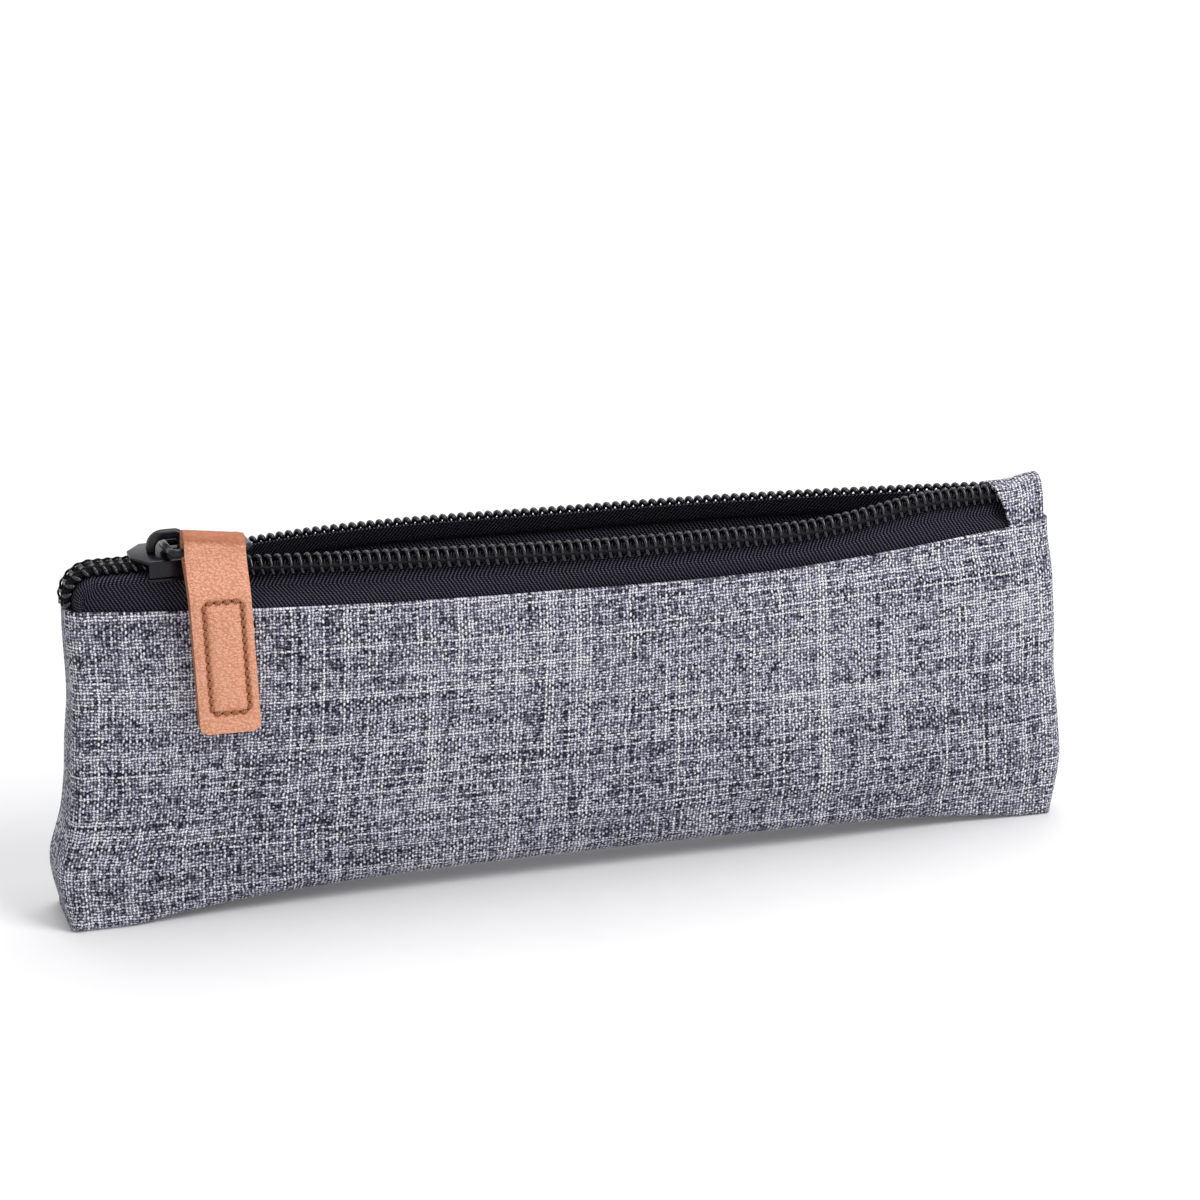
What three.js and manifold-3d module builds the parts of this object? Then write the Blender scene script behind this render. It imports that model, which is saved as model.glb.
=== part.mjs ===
// Soft insulated pencil-shaped case with a coil zip along its top, standing on its base with the zip open.
// Millimetres, +Z up, X along the case, -Y towards the front. The origin lies under the middle of the case.
import * as THREE from "three";
import { mergeVertices } from "three/addons/utils/BufferGeometryUtils.js";
import Module from "manifold-3d";

const wasm = await Module();
wasm.setup();

// Case body: half lengths and half depths from the middle plane
const EDGE_HEIGHT = 72.5;
const EDGE_DIP = 1.5;
const MOUTH_HALF_LENGTH = 112.6;
const BASE_SPREAD = 2.3;
const FLARE_SPREAD = 4.6;
const FLARE_HEIGHT = 14;
const BASE_HALF_DEPTH = 9.8;
const MOUTH_END_HALF_DEPTH = 5.4;
const FRONT_MOUTH_DEPTH = 15.7;
const REAR_MOUTH_DEPTH = 13.3;
const REAR_BELLY = 3.4;
const BASE_CORNER_RADIUS = 1.5;
const WALL_CORNER_RADIUS = 3.5;
const BASE_EDGE_RADIUS_END = 1.5;
const BASE_EDGE_RADIUS_MIDDLE = 6;
const BASE_RAISE = 5.4;
const FOOT_LENGTH = 14;
const CORNER_SHARE = 0.8;

// Layers of the wall, from the outside in
const PANEL_THICKNESS = 0.9;
const FOAM_THICKNESS = 2.5;
const FOAM_BELOW_EDGE = 10;
const LINING_THICKNESS = 0.5;
const LINING_BELOW_EDGE = 1;
const CLEARANCE = 0.3;

// Zip: one row of coil on each tape
const CHAIN_RISE = 7.9;
const CHAIN_END_RADIUS = 6.4;
const CHAIN_END_INSET = 1.2;
const CHAIN_END_TURN_DEG = 78;
const LIP_DROP = 2.4;
const COIL_WIDTH = 4;
const COIL_THICKNESS = 2.6;
const COIL_PITCH = 2.1;
const COIL_ROOT_SHARE = 0.72;
const COIL_ROOT_WIDTH_SHARE = 0.86;
const FRONT_LIP_BOW = 12.8;
const REAR_LIP_BOW = 10;
const LIP_SKEW = 0.5;
const TWIST_START = 1.5;
const TWIST_LENGTH = 13;
const END_LEAN_DEG = 65;
const END_LEAN_LENGTH = 26;
const TAPE_THICKNESS = 0.6;
const TAPE_TUCK = 6.5;
const TAPE_SHOULDER = 2.4;
const SHOULDER_SLANT = 0.6;
const TAB_LENGTH = 13;
const TAB_THICKNESS = 0.8;
const TAB_SHOULDER_RISE = 0.6;
const TAB_SHOULDER_SHARE = 0.8;
const CHAIN_UNDER_TAB = 4.5;

// Slider, its crown, and the pull
const SLIDER_FROM_END = 15.2;
const SLIDER_LENGTH = 12.2;
const SLIDER_WALL = 0.9;
const SLIDER_NOSE_HALF_WIDTH = 4.2;
const SLIDER_NOSE_SWEEP = 4;
const SLIDER_NOSE_PULL = 1;
const SLIDER_MOUTH_ROUND = 1.5;
const POST_LENGTH = 2;
const POST_HALF_WIDTH = 0.4;
const CROWN_FOOT_FROM_NOSE = 3.5;
const CROWN_LENGTH = 7.5;
const CROWN_HEIGHT = 4.7;
const CROWN_BAR = 1.5;
const CROWN_WIDTH = 2.2;
const CROWN_ROUND = 2.2;
const RING_WIRE_RADIUS = 0.9;
const RING_LENGTH = 18.4;
const RING_OVERHANG = 4.2;
const RING_ROLL_DEG = 7;
const RING_CORNER_RADIUS = 1.6;
const STRAP_WIDTH = 14;
const STRAP_LENGTH = 40.4;
const LEATHER_THICKNESS = 1.5;
const FOLD_RISE = 2;
const STRAP_GAP = 0.5;
const STRAP_BEND_LENGTH = 11.5;
const STITCH_SIDE_MARGIN = 3.4;
const STITCH_END_MARGIN = 4.6;
const STITCH_BOX_LENGTH = 25.4;
const THREAD_RADIUS = 0.3;

// Mesh density
const FRONT_COLUMNS = 14;
const CORNER_STEPS = 3;
const WALL_ROWS = 6;
const EDGE_STEPS = 2;
const TAPE_STATIONS = 54;
const STRAP_STEPS = 8;
const RING_SIDES = 8;
const ARC_STEPS = 4;

const FRONT = -1;
const REAR = 1;
const SEAM_HALF_GAP = CLEARANCE / 2;
const CUT_MARGIN = 1;
const QUARTER_TURN = Math.PI / 2;
const BASE_HALF_LENGTH = MOUTH_HALF_LENGTH + BASE_SPREAD;
const FLARE_HALF_LENGTH = MOUTH_HALF_LENGTH + FLARE_SPREAD;
const CHAIN_HEIGHT = EDGE_HEIGHT + CHAIN_RISE;
const { degToRad, lerp, smoothstep } = THREE.MathUtils;

// Solids from grids of points

function signedVolume(geometry) {
  const position = geometry.getAttribute("position");
  const index = geometry.getIndex();
  const [a, b, c] = [new THREE.Vector3(), new THREE.Vector3(), new THREE.Vector3()];
  let volume = 0;
  for (let i = 0; i < index.count; i += 3) {
    a.fromBufferAttribute(position, index.getX(i));
    b.fromBufferAttribute(position, index.getX(i + 1));
    c.fromBufferAttribute(position, index.getX(i + 2));
    volume += a.dot(b.cross(c)) / 6;
  }
  return volume;
}

function closedGeometry(points, triangles) {
  const geometry = new THREE.BufferGeometry().setFromPoints(points);
  geometry.setIndex(triangles);
  if (signedVolume(geometry) < 0) {
    for (let i = 0; i < triangles.length; i += 3) {
      [triangles[i + 1], triangles[i + 2]] = [triangles[i + 2], triangles[i + 1]];
    }
    geometry.setIndex(triangles);
  }
  geometry.computeVertexNormals();
  return geometry;
}

// A sheet with thickness: two grids of the same rows and columns, joined round their borders.
function sheet(outer, inner) {
  const rows = outer.length;
  const columns = outer[0].length;
  const points = [...outer.flat(), ...inner.flat()];
  const at = (layer, row, column) => (layer * rows + row) * columns + column;
  const triangles = [];
  const quad = (a, b, c, d) => triangles.push(a, b, c, a, c, d);
  for (let r = 0; r + 1 < rows; r++) {
    for (let c = 0; c + 1 < columns; c++) {
      quad(at(0, r, c), at(0, r, c + 1), at(0, r + 1, c + 1), at(0, r + 1, c));
      quad(at(1, r, c), at(1, r + 1, c), at(1, r + 1, c + 1), at(1, r, c + 1));
    }
    quad(at(0, r, 0), at(0, r + 1, 0), at(1, r + 1, 0), at(1, r, 0));
    const e = columns - 1;
    quad(at(0, r, e), at(1, r, e), at(1, r + 1, e), at(0, r + 1, e));
  }
  for (let c = 0; c + 1 < columns; c++) {
    quad(at(0, 0, c), at(1, 0, c), at(1, 0, c + 1), at(0, 0, c + 1));
    const e = rows - 1;
    quad(at(0, e, c), at(0, e, c + 1), at(1, e, c + 1), at(1, e, c));
  }
  return closedGeometry(points, triangles);
}

// Rings of points skinned in order, closed by a fan at each end or joined end to end.
function skin(rings, joined = false) {
  const sides = rings[0].length;
  const points = rings.flat();
  const triangles = [];
  const spans = joined ? rings.length : rings.length - 1;
  for (let r = 0; r < spans; r++) {
    const next = (r + 1) % rings.length;
    for (let s = 0; s < sides; s++) {
      const turn = (s + 1) % sides;
      const [a, b] = [r * sides + s, r * sides + turn];
      const [c, d] = [next * sides + turn, next * sides + s];
      triangles.push(a, b, c, a, c, d);
    }
  }
  if (!joined) {
    const last = (rings.length - 1) * sides;
    for (let s = 1; s + 1 < sides; s++) {
      triangles.push(0, s + 1, s);
      triangles.push(last, last + s, last + s + 1);
    }
  }
  return closedGeometry(points, triangles);
}

function toSolid(geometry) {
  const bare = geometry.clone();
  bare.deleteAttribute("normal");
  bare.deleteAttribute("uv");
  const merged = mergeVertices(bare, 1e-4);
  return new wasm.Manifold(
    new wasm.Mesh({
      numProp: 3,
      vertProperties: new Float32Array(merged.getAttribute("position").array),
      triVerts: new Uint32Array(merged.getIndex().array),
    }),
  );
}

function toGeometry(solid) {
  const mesh = solid.getMesh();
  const geometry = new THREE.BufferGeometry();
  geometry.setAttribute("position", new THREE.BufferAttribute(mesh.vertProperties, 3));
  geometry.setIndex(new THREE.BufferAttribute(mesh.triVerts, 1));
  geometry.computeVertexNormals();
  return geometry;
}

function block(xRange, yRange, zRange) {
  const size = [xRange, yRange, zRange].map(([low, high]) => high - low);
  const middle = [xRange, yRange, zRange].map(([low, high]) => (low + high) / 2);
  return toSolid(new THREE.BoxGeometry(...size).translate(...middle));
}

// The wall's shape

const easeOut = (t) => Math.sin(QUARTER_TURN * THREE.MathUtils.clamp(t, 0, 1));

function halfLength(z) {
  if (z < FLARE_HEIGHT) return lerp(BASE_HALF_LENGTH, FLARE_HALF_LENGTH, easeOut(z / FLARE_HEIGHT));
  const t = (z - FLARE_HEIGHT) / (EDGE_HEIGHT - FLARE_HEIGHT);
  return lerp(FLARE_HALF_LENGTH, MOUTH_HALF_LENGTH, easeOut(t));
}

const endDepth = (z) => lerp(BASE_HALF_DEPTH, MOUTH_END_HALF_DEPTH, z / EDGE_HEIGHT);

function middleDepth(z, side) {
  const t = z / EDGE_HEIGHT;
  if (side === FRONT) return lerp(BASE_HALF_DEPTH, FRONT_MOUTH_DEPTH, easeOut(t));
  return lerp(BASE_HALF_DEPTH, REAR_MOUTH_DEPTH, t) + REAR_BELLY * 4 * t * (1 - t);
}

const cornerRadius = (z) => lerp(BASE_CORNER_RADIUS, WALL_CORNER_RADIUS, easeOut(z / FLARE_HEIGHT));
const bow = (x, reach) => Math.max(0, 1 - (x / reach) ** 2);
const edgeHeight = (x) => EDGE_HEIGHT - EDGE_DIP * bow(x, MOUTH_HALF_LENGTH);
const RAISE_REACH = BASE_HALF_LENGTH - FOOT_LENGTH;
const baseRaise = (x) => BASE_RAISE * bow(x, RAISE_REACH);
const baseEdgeRadius = (x) => lerp(BASE_EDGE_RADIUS_END, BASE_EDGE_RADIUS_MIDDLE, bow(x, RAISE_REACH));

// Half a level's outline as [x, depth], from the left seam round the corner and along the wall to the right.
function outline(z, side, inset) {
  const length = halfLength(z) - inset;
  const end = endDepth(z) - inset;
  const radius = Math.min(Math.max(cornerRadius(z) - inset, CLEARANCE), CORNER_SHARE * end);
  const middle = middleDepth(z, side) - inset;
  const left = [[-length, SEAM_HALF_GAP]];
  for (let i = 0; i <= CORNER_STEPS; i++) {
    const turn = QUARTER_TURN * (i / CORNER_STEPS);
    left.push([-length + radius * (1 - Math.cos(turn)), end - radius * (1 - Math.sin(turn))]);
  }
  const reach = length - radius;
  const wall = [];
  for (let i = 1; i < FRONT_COLUMNS; i++) {
    const x = lerp(-reach, reach, i / FRONT_COLUMNS);
    wall.push([x, lerp(end, middle, bow(x, reach))]);
  }
  const right = left.map(([x, depth]) => [-x, depth]).reverse();
  return [...left, ...wall, ...right];
}

const CORNER_POINTS = CORNER_STEPS + 1;

// One face of a wall layer: rows run from the seam under the base, round its edge and up to the layer's top.
// Inset is the depth of the face below the outside.
function wallFace(side, inset, belowEdge) {
  const rows = [];
  const base = outline(0, side, inset);
  const last = base.length - 1;
  const spineX = (i) => {
    if (2 * i > last) return -spineX(last - i);
    if (i > CORNER_POINTS) return base[i][0];
    return lerp(base[0][0], base[CORNER_POINTS + 1][0], i / (CORNER_POINTS + 1));
  };
  const spinePoint = (x) => new THREE.Vector3(x, side * SEAM_HALF_GAP, inset + baseRaise(x));
  rows.push(base.map((point, i) => spinePoint(spineX(i))));
  const edgeRadius = (x) => Math.max(baseEdgeRadius(x) - inset, CLEARANCE);
  for (let step = 0; step < EDGE_STEPS; step++) {
    const turn = QUARTER_TURN * (step / EDGE_STEPS);
    rows.push(
      base.map(([x, depth]) => {
        const y = Math.max(depth - edgeRadius(x) * (1 - Math.sin(turn)), SEAM_HALF_GAP);
        const z = inset + edgeRadius(x) * (1 - Math.cos(turn)) + baseRaise(x);
        return new THREE.Vector3(x, side * y, z);
      }),
    );
  }
  for (let row = 0; row <= WALL_ROWS; row++) {
    const share = row / WALL_ROWS;
    rows.push(
      outline(share * (EDGE_HEIGHT - belowEdge), side, inset).map(([x, depth]) => {
        const z = lerp(inset + edgeRadius(x), edgeHeight(x) - belowEdge, share);
        return new THREE.Vector3(x, side * depth, z + baseRaise(x) * (1 - share) ** 2);
      }),
    );
  }
  return rows;
}

const wallLayer = (side, inset, thickness, belowEdge) =>
  sheet(wallFace(side, inset, belowEdge), wallFace(side, inset + thickness, belowEdge));

const FOAM_INSET = PANEL_THICKNESS + CLEARANCE;
const LINING_INSET = FOAM_INSET + FOAM_THICKNESS + CLEARANCE;
const TAPE_INSET = PANEL_THICKNESS + CLEARANCE + TAPE_THICKNESS / 2;

// Depth of the outside at a place along the wall, between its rounded corners.
function wallDepth(x, z, side) {
  const reach = halfLength(z) - cornerRadius(z);
  return lerp(endDepth(z), middleDepth(z, side), bow(x, reach));
}

// The zip's run: stations from the left end, over the end of the case, through the slider to the tab

const CHAIN_LEFT = -(MOUTH_HALF_LENGTH - CHAIN_END_INSET);
const CURVE_START = CHAIN_LEFT + CHAIN_END_RADIUS;
const END_TURN = degToRad(CHAIN_END_TURN_DEG);
const CURVE_LENGTH = CHAIN_END_RADIUS * END_TURN;
const TAB_START = MOUTH_HALF_LENGTH - TAB_LENGTH;
const CHAIN_RIGHT = TAB_START + CHAIN_UNDER_TAB;
const CHAIN_RUN = CURVE_LENGTH + CHAIN_RIGHT - CURVE_START;
const SLIDER_NOSE = -(MOUTH_HALF_LENGTH - SLIDER_FROM_END);
const SLIDER_MOUTH = SLIDER_NOSE + SLIDER_LENGTH;
const LIP_START = SLIDER_MOUTH - POST_LENGTH;
const TWIST_FROM = SLIDER_MOUTH + TWIST_START;
const CLOSED_OFFSET = COIL_WIDTH / 2 + SEAM_HALF_GAP;

function lipOffset(x, side) {
  const t = THREE.MathUtils.clamp((x - LIP_START) / (TAB_START - LIP_START), 0, 1);
  const lens = 4 * t * (1 - t) * (1 + LIP_SKEW * (0.5 - t));
  return CLOSED_OFFSET + (side === FRONT ? FRONT_LIP_BOW : REAR_LIP_BOW) * lens;
}

// The angle between a coil row and the flat: 0 where the rows meet, upright where the mouth is open.
function lean(x) {
  const up = QUARTER_TURN * smoothstep(x, TWIST_FROM, TWIST_FROM + TWIST_LENGTH);
  const endLean = degToRad(END_LEAN_DEG);
  return lerp(up, Math.min(up, endLean), smoothstep(x, TAB_START - END_LEAN_LENGTH, TAB_START));
}

// A station of one row: its centre, the direction out to the tape and the direction of its upper face.
function station(run, side) {
  const turn = Math.max(0, END_TURN - run / CHAIN_END_RADIUS);
  const x = CURVE_START - CHAIN_END_RADIUS * Math.sin(turn) + Math.max(0, run - CURVE_LENGTH);
  const angle = lean(x);
  const drop = CHAIN_END_RADIUS * (1 - Math.cos(turn)) + LIP_DROP * Math.sin(angle);
  const centre = new THREE.Vector3(x, side * lipOffset(x, side), CHAIN_HEIGHT - drop);
  const out = new THREE.Vector3(0, side * Math.cos(angle), -Math.sin(angle));
  const face = new THREE.Vector3(0, side * Math.sin(angle), Math.cos(angle));
  const end = new THREE.Vector3(-1, 0, 0).multiplyScalar(Math.sin(turn));
  face.multiplyScalar(Math.cos(turn)).add(end).normalize();
  return { centre, out, face };
}

// One row of coil: a flat bar whose section swells at every turn. The rear row lies half a pitch on.
function coilRow(side) {
  const start = side === FRONT ? 0 : COIL_PITCH / 2;
  const count = Math.floor((2 * (CHAIN_RUN - start)) / COIL_PITCH);
  const rings = [];
  for (let i = 0; i <= count; i++) {
    const { centre, out, face } = station(start + (i * COIL_PITCH) / 2, side);
    const root = i % 2 === 0;
    const half = (COIL_WIDTH / 2) * (root ? COIL_ROOT_WIDTH_SHARE : 1);
    const thick = (COIL_THICKNESS / 2) * (root ? COIL_ROOT_SHARE : 1);
    const corners = [
      [half, 0],
      [half / 2, thick],
      [-half / 2, thick],
      [-half, 0],
      [-half / 2, -thick],
      [half / 2, -thick],
    ];
    rings.push(corners.map(([u, v]) => centre.clone().addScaledVector(out, u).addScaledVector(face, v)));
  }
  return skin(rings);
}

// A tape: tucked behind the panel's edge, rising to a shoulder and out to the coil row's outer edge.
function zipTape(side) {
  const limit = MOUTH_HALF_LENGTH - WALL_CORNER_RADIUS;
  const [outer, inner] = [[], []];
  const place = (rows, row, column, point) => {
    (rows[row] ??= [])[column] = point;
  };
  for (let i = 0; i <= TAPE_STATIONS; i++) {
    const { centre, out, face } = station((CHAIN_RUN * i) / TAPE_STATIONS, side);
    const tail = centre.clone().addScaledVector(out, COIL_WIDTH / 2 + CLEARANCE);
    const shoulder = tail.clone().addScaledVector(out, TAPE_SHOULDER);
    const x = THREE.MathUtils.clamp(centre.x, -limit, limit);
    const behindPanel = (z) => new THREE.Vector3(x, side * (wallDepth(x, z, side) - TAPE_INSET), z);
    const rim = behindPanel(edgeHeight(x));
    const foot = behindPanel(edgeHeight(x) - TAPE_TUCK);
    const flat = new THREE.Vector3(0, side, 0);
    const slant = face.clone().lerp(flat, SHOULDER_SLANT).normalize();
    const spine = [
      [foot, flat],
      [rim, flat],
      [shoulder, slant],
      [tail, face],
    ];
    spine.forEach(([point, normal], row) => {
      place(outer, row, i, point.clone().addScaledVector(normal, TAPE_THICKNESS / 2));
      place(inner, row, i, point.clone().addScaledVector(normal, -TAPE_THICKNESS / 2));
    });
  }
  return sheet(outer, inner);
}

// The fabric tab folded over the zip's right end, up from the front panel's edge and down behind.
function endTab() {
  const endLean = degToRad(END_LEAN_DEG);
  const ridge = CHAIN_HEIGHT - LIP_DROP * Math.sin(endLean) + (COIL_WIDTH + COIL_THICKNESS) / 2;
  const shoulderWidth = CLOSED_OFFSET + COIL_THICKNESS / 2 + COIL_WIDTH / 4 + CLEARANCE;
  const profile = (x, thickness) => {
    const halfProfile = (side) => {
      const low = edgeHeight(x) + CLEARANCE;
      const foot = wallDepth(x, EDGE_HEIGHT, side) - PANEL_THICKNESS;
      return [
        [foot + thickness, low],
        [Math.max(shoulderWidth, TAB_SHOULDER_SHARE * foot) + thickness, lerp(low, ridge, TAB_SHOULDER_RISE)],
        [shoulderWidth / 2 + thickness, ridge + thickness / 2],
      ].map(([y, z]) => new THREE.Vector3(x, side * y, z));
    };
    const crest = new THREE.Vector3(x, 0, ridge + CLEARANCE + thickness);
    return [...halfProfile(FRONT), crest, ...halfProfile(REAR).reverse()];
  };
  const columns = [0, 0.5, 1].map((t) => lerp(TAB_START, MOUTH_HALF_LENGTH - CLEARANCE, t));
  return sheet(
    columns.map((x) => profile(x, TAB_THICKNESS)),
    columns.map((x) => profile(x, 0)),
  );
}

// The slider: two plates with flanges round a channel, joined by a post between the two rows

const CHANNEL_HALF_WIDTH = lipOffset(SLIDER_MOUTH, FRONT) + COIL_WIDTH / 2 + CLEARANCE;
const CHANNEL_HALF_HEIGHT = COIL_THICKNESS / 2 + CLEARANCE;
const SLIDER_HALF_HEIGHT = CHANNEL_HALF_HEIGHT + SLIDER_WALL;
const SLIDER_HALF_WIDTH = CHANNEL_HALF_WIDTH + SLIDER_WALL;
const SLIDER_TOP = CHAIN_HEIGHT + SLIDER_HALF_HEIGHT;

function sliderPlan() {
  const [nose, mouth, side] = [SLIDER_NOSE, SLIDER_MOUTH, SLIDER_HALF_WIDTH];
  const [pull, sweep] = [nose + SLIDER_NOSE_PULL, nose + SLIDER_NOSE_SWEEP];
  const round = SLIDER_MOUTH_ROUND;
  const shape = new THREE.Shape();
  shape.moveTo(nose, -SLIDER_NOSE_HALF_WIDTH);
  shape.quadraticCurveTo(pull, -side, sweep, -side);
  shape.lineTo(mouth - round, -side);
  shape.quadraticCurveTo(mouth, -side, mouth, round - side);
  shape.lineTo(mouth, side - round);
  shape.quadraticCurveTo(mouth, side, mouth - round, side);
  shape.lineTo(sweep, side);
  shape.quadraticCurveTo(pull, side, nose, SLIDER_NOSE_HALF_WIDTH);
  return shape;
}

function sliderBody() {
  const casting = new THREE.ExtrudeGeometry(sliderPlan(), {
    depth: 2 * SLIDER_HALF_HEIGHT,
    bevelEnabled: false,
    curveSegments: ARC_STEPS,
  }).translate(0, 0, CHAIN_HEIGHT - SLIDER_HALF_HEIGHT);
  const through = [SLIDER_NOSE - CUT_MARGIN, SLIDER_MOUTH + CUT_MARGIN];
  const around = (half) => [CHAIN_HEIGHT - half, CHAIN_HEIGHT + half];
  const channel = block(through, [-CHANNEL_HALF_WIDTH, CHANNEL_HALF_WIDTH], around(CHANNEL_HALF_HEIGHT));
  const slotHalf = SLIDER_HALF_WIDTH + CUT_MARGIN;
  const slots = block(through, [-slotHalf, slotHalf], around(TAPE_THICKNESS / 2 + CLEARANCE));
  const wedge = new THREE.Shape();
  wedge.moveTo(SLIDER_MOUTH - POST_LENGTH, 0);
  wedge.lineTo(SLIDER_MOUTH, -POST_HALF_WIDTH);
  wedge.lineTo(SLIDER_MOUTH, POST_HALF_WIDTH);
  const postHeight = 2 * CHANNEL_HALF_HEIGHT + SLIDER_WALL;
  const post = new THREE.ExtrudeGeometry(wedge, { depth: postHeight, bevelEnabled: false });
  post.translate(0, 0, CHAIN_HEIGHT - postHeight / 2);
  return toGeometry(toSolid(casting).subtract(channel).subtract(slots).add(toSolid(post)));
}

const CROWN_LEFT = SLIDER_NOSE + CROWN_FOOT_FROM_NOSE;
const CROWN_SEAT = SLIDER_TOP + CLEARANCE;

// The crown: a flat arch along the slider, standing on its two feet.
function sliderCrown() {
  const arch = new THREE.Shape();
  const [left, right] = [CROWN_LEFT, CROWN_LEFT + CROWN_LENGTH];
  const top = SLIDER_TOP + CROWN_HEIGHT;
  const round = CROWN_ROUND;
  arch.moveTo(left, CROWN_SEAT);
  arch.lineTo(left + CROWN_BAR, CROWN_SEAT);
  arch.lineTo(left + CROWN_BAR, top - CROWN_BAR);
  arch.lineTo(right - CROWN_BAR, top - CROWN_BAR);
  arch.lineTo(right - CROWN_BAR, CROWN_SEAT);
  arch.lineTo(right, CROWN_SEAT);
  arch.lineTo(right, top - round);
  arch.quadraticCurveTo(right, top, right - round, top);
  arch.lineTo(left + round, top);
  arch.quadraticCurveTo(left, top, left, top - round);
  return new THREE.ExtrudeGeometry(arch, {
    depth: CROWN_WIDTH,
    bevelEnabled: false,
    curveSegments: ARC_STEPS,
  })
    .rotateX(QUARTER_TURN)
    .translate(0, CROWN_WIDTH / 2, 0);
}

// The pull ring: a rectangular loop of wire whose left arm lies in the crown's window. It is rolled about X,
// so that its front arm stands higher than its rear arm, which rests on the slider.
const RING_ROLL = THREE.MathUtils.degToRad(RING_ROLL_DEG);
const RING_PIVOT = CROWN_LEFT + CROWN_LENGTH / 2;
const RING_FAR = RING_PIVOT + RING_LENGTH;
const RING_REAR = CROWN_WIDTH / 2 + CLEARANCE + RING_WIRE_RADIUS;
const RING_FRONT_REACH = SLIDER_HALF_WIDTH + RING_OVERHANG;
const RING_HEIGHT = SLIDER_TOP + RING_WIRE_RADIUS + CLEARANCE + RING_REAR * Math.sin(RING_ROLL);
const FRONT_ARM_DEPTH = RING_FRONT_REACH * Math.cos(RING_ROLL);
const FRONT_ARM_HEIGHT = RING_HEIGHT + RING_FRONT_REACH * Math.sin(RING_ROLL);

function pullRing() {
  const corners = [
    [RING_PIVOT, -RING_FRONT_REACH, 2],
    [RING_FAR, -RING_FRONT_REACH, 3],
    [RING_FAR, RING_REAR, 0],
    [RING_PIVOT, RING_REAR, 1],
  ];
  const rings = [];
  for (const [x, y, quarter] of corners) {
    const cx = x + (x === RING_PIVOT ? RING_CORNER_RADIUS : -RING_CORNER_RADIUS);
    const cy = y + (y === RING_REAR ? -RING_CORNER_RADIUS : RING_CORNER_RADIUS);
    for (let i = 0; i <= ARC_STEPS; i++) {
      const turn = QUARTER_TURN * (quarter + i / ARC_STEPS);
      const [dx, dy] = [Math.cos(turn), Math.sin(turn)];
      const ring = [];
      for (let s = 0; s < RING_SIDES; s++) {
        const round = (2 * Math.PI * s) / RING_SIDES;
        const reach = RING_CORNER_RADIUS + RING_WIRE_RADIUS * Math.cos(round);
        ring.push(new THREE.Vector3(cx + dx * reach, cy + dy * reach, RING_WIRE_RADIUS * Math.sin(round)));
      }
      rings.push(ring);
    }
  }
  return skin(rings, true).rotateX(-RING_ROLL).translate(0, 0, RING_HEIGHT);
}

// The strap: a leather strip folded over the ring's front arm and sewn to itself, resting on the front panel.
// It is modelled about that arm, X along the arm.
const STRAP_LEFT = RING_PIVOT + (RING_LENGTH - STRAP_WIDTH) / 2;
const STRAP_FOOT = FRONT_ARM_HEIGHT - STRAP_LENGTH;
const EYE_RADIUS = RING_WIRE_RADIUS + CLEARANCE;
const FOLD_RADIUS = EYE_RADIUS + LEATHER_THICKNESS;
const STRAP_NECK = 2 * FOLD_RADIUS;
// How far the strap's sewn length hangs in front of the arm, to lie just clear of the panel behind it.
function strapStandoff() {
  const levels = [0, 0.25, 0.5, 0.75, 1].map((t) => lerp(STRAP_FOOT, EDGE_HEIGHT, t));
  const depths = levels.map((z) => wallDepth(STRAP_LEFT + STRAP_WIDTH, z, FRONT));
  return Math.max(...depths) + STRAP_GAP + LEATHER_THICKNESS - FRONT_ARM_DEPTH;
}

const STRAP_STANDOFF = strapStandoff();
const strapOffset = (down) => STRAP_STANDOFF * smoothstep(down, 0, STRAP_BEND_LENGTH);

function pullStrap() {
  const section = new THREE.Shape();
  section.absarc(0, FOLD_RISE, FOLD_RADIUS, 0, Math.PI, false);
  const bends = [];
  for (let i = 1; i <= STRAP_STEPS; i++) bends.push((STRAP_BEND_LENGTH * i) / STRAP_STEPS);
  const face = (down, half) => [-strapOffset(down) + half, -down];
  const half = (down) => lerp(FOLD_RADIUS, LEATHER_THICKNESS, smoothstep(down, 0, STRAP_NECK));
  for (const down of [...bends, STRAP_LENGTH]) section.lineTo(...face(down, -half(down)));
  for (const down of [STRAP_LENGTH, ...bends.reverse()]) section.lineTo(...face(down, half(down)));
  const eye = new THREE.Path();
  eye.absarc(0, FOLD_RISE, EYE_RADIUS, 0, Math.PI, false);
  eye.absarc(0, 0, EYE_RADIUS, Math.PI, 2 * Math.PI, false);
  section.holes.push(eye);
  return new THREE.ExtrudeGeometry(section, {
    depth: STRAP_WIDTH,
    bevelEnabled: false,
    curveSegments: 2 * ARC_STEPS,
  })
    .rotateX(QUARTER_TURN)
    .rotateZ(QUARTER_TURN);
}

// The sewn line on the strap's face: a rectangular loop of thread near the free end.
function strapStitching() {
  const low = -(STRAP_LENGTH - STITCH_END_MARGIN);
  const [left, right] = [STITCH_SIDE_MARGIN, STRAP_WIDTH - STITCH_SIDE_MARGIN];
  const corners = [
    [left, low, -1, -1],
    [right, low, 1, -1],
    [right, low + STITCH_BOX_LENGTH, 1, 1],
    [left, low + STITCH_BOX_LENGTH, -1, 1],
  ];
  const y = -(STRAP_STANDOFF + LEATHER_THICKNESS + CLEARANCE + THREAD_RADIUS);
  const rings = corners.map(([x, z, outX, outZ]) => {
    const ring = [];
    for (let s = 0; s < RING_SIDES; s++) {
      const round = (2 * Math.PI * s) / RING_SIDES;
      const reach = THREAD_RADIUS * Math.cos(round);
      ring.push(new THREE.Vector3(x + outX * reach, y + THREAD_RADIUS * Math.sin(round), z + outZ * reach));
    }
    return ring;
  });
  return skin(rings, true);
}

// Finishes

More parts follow.
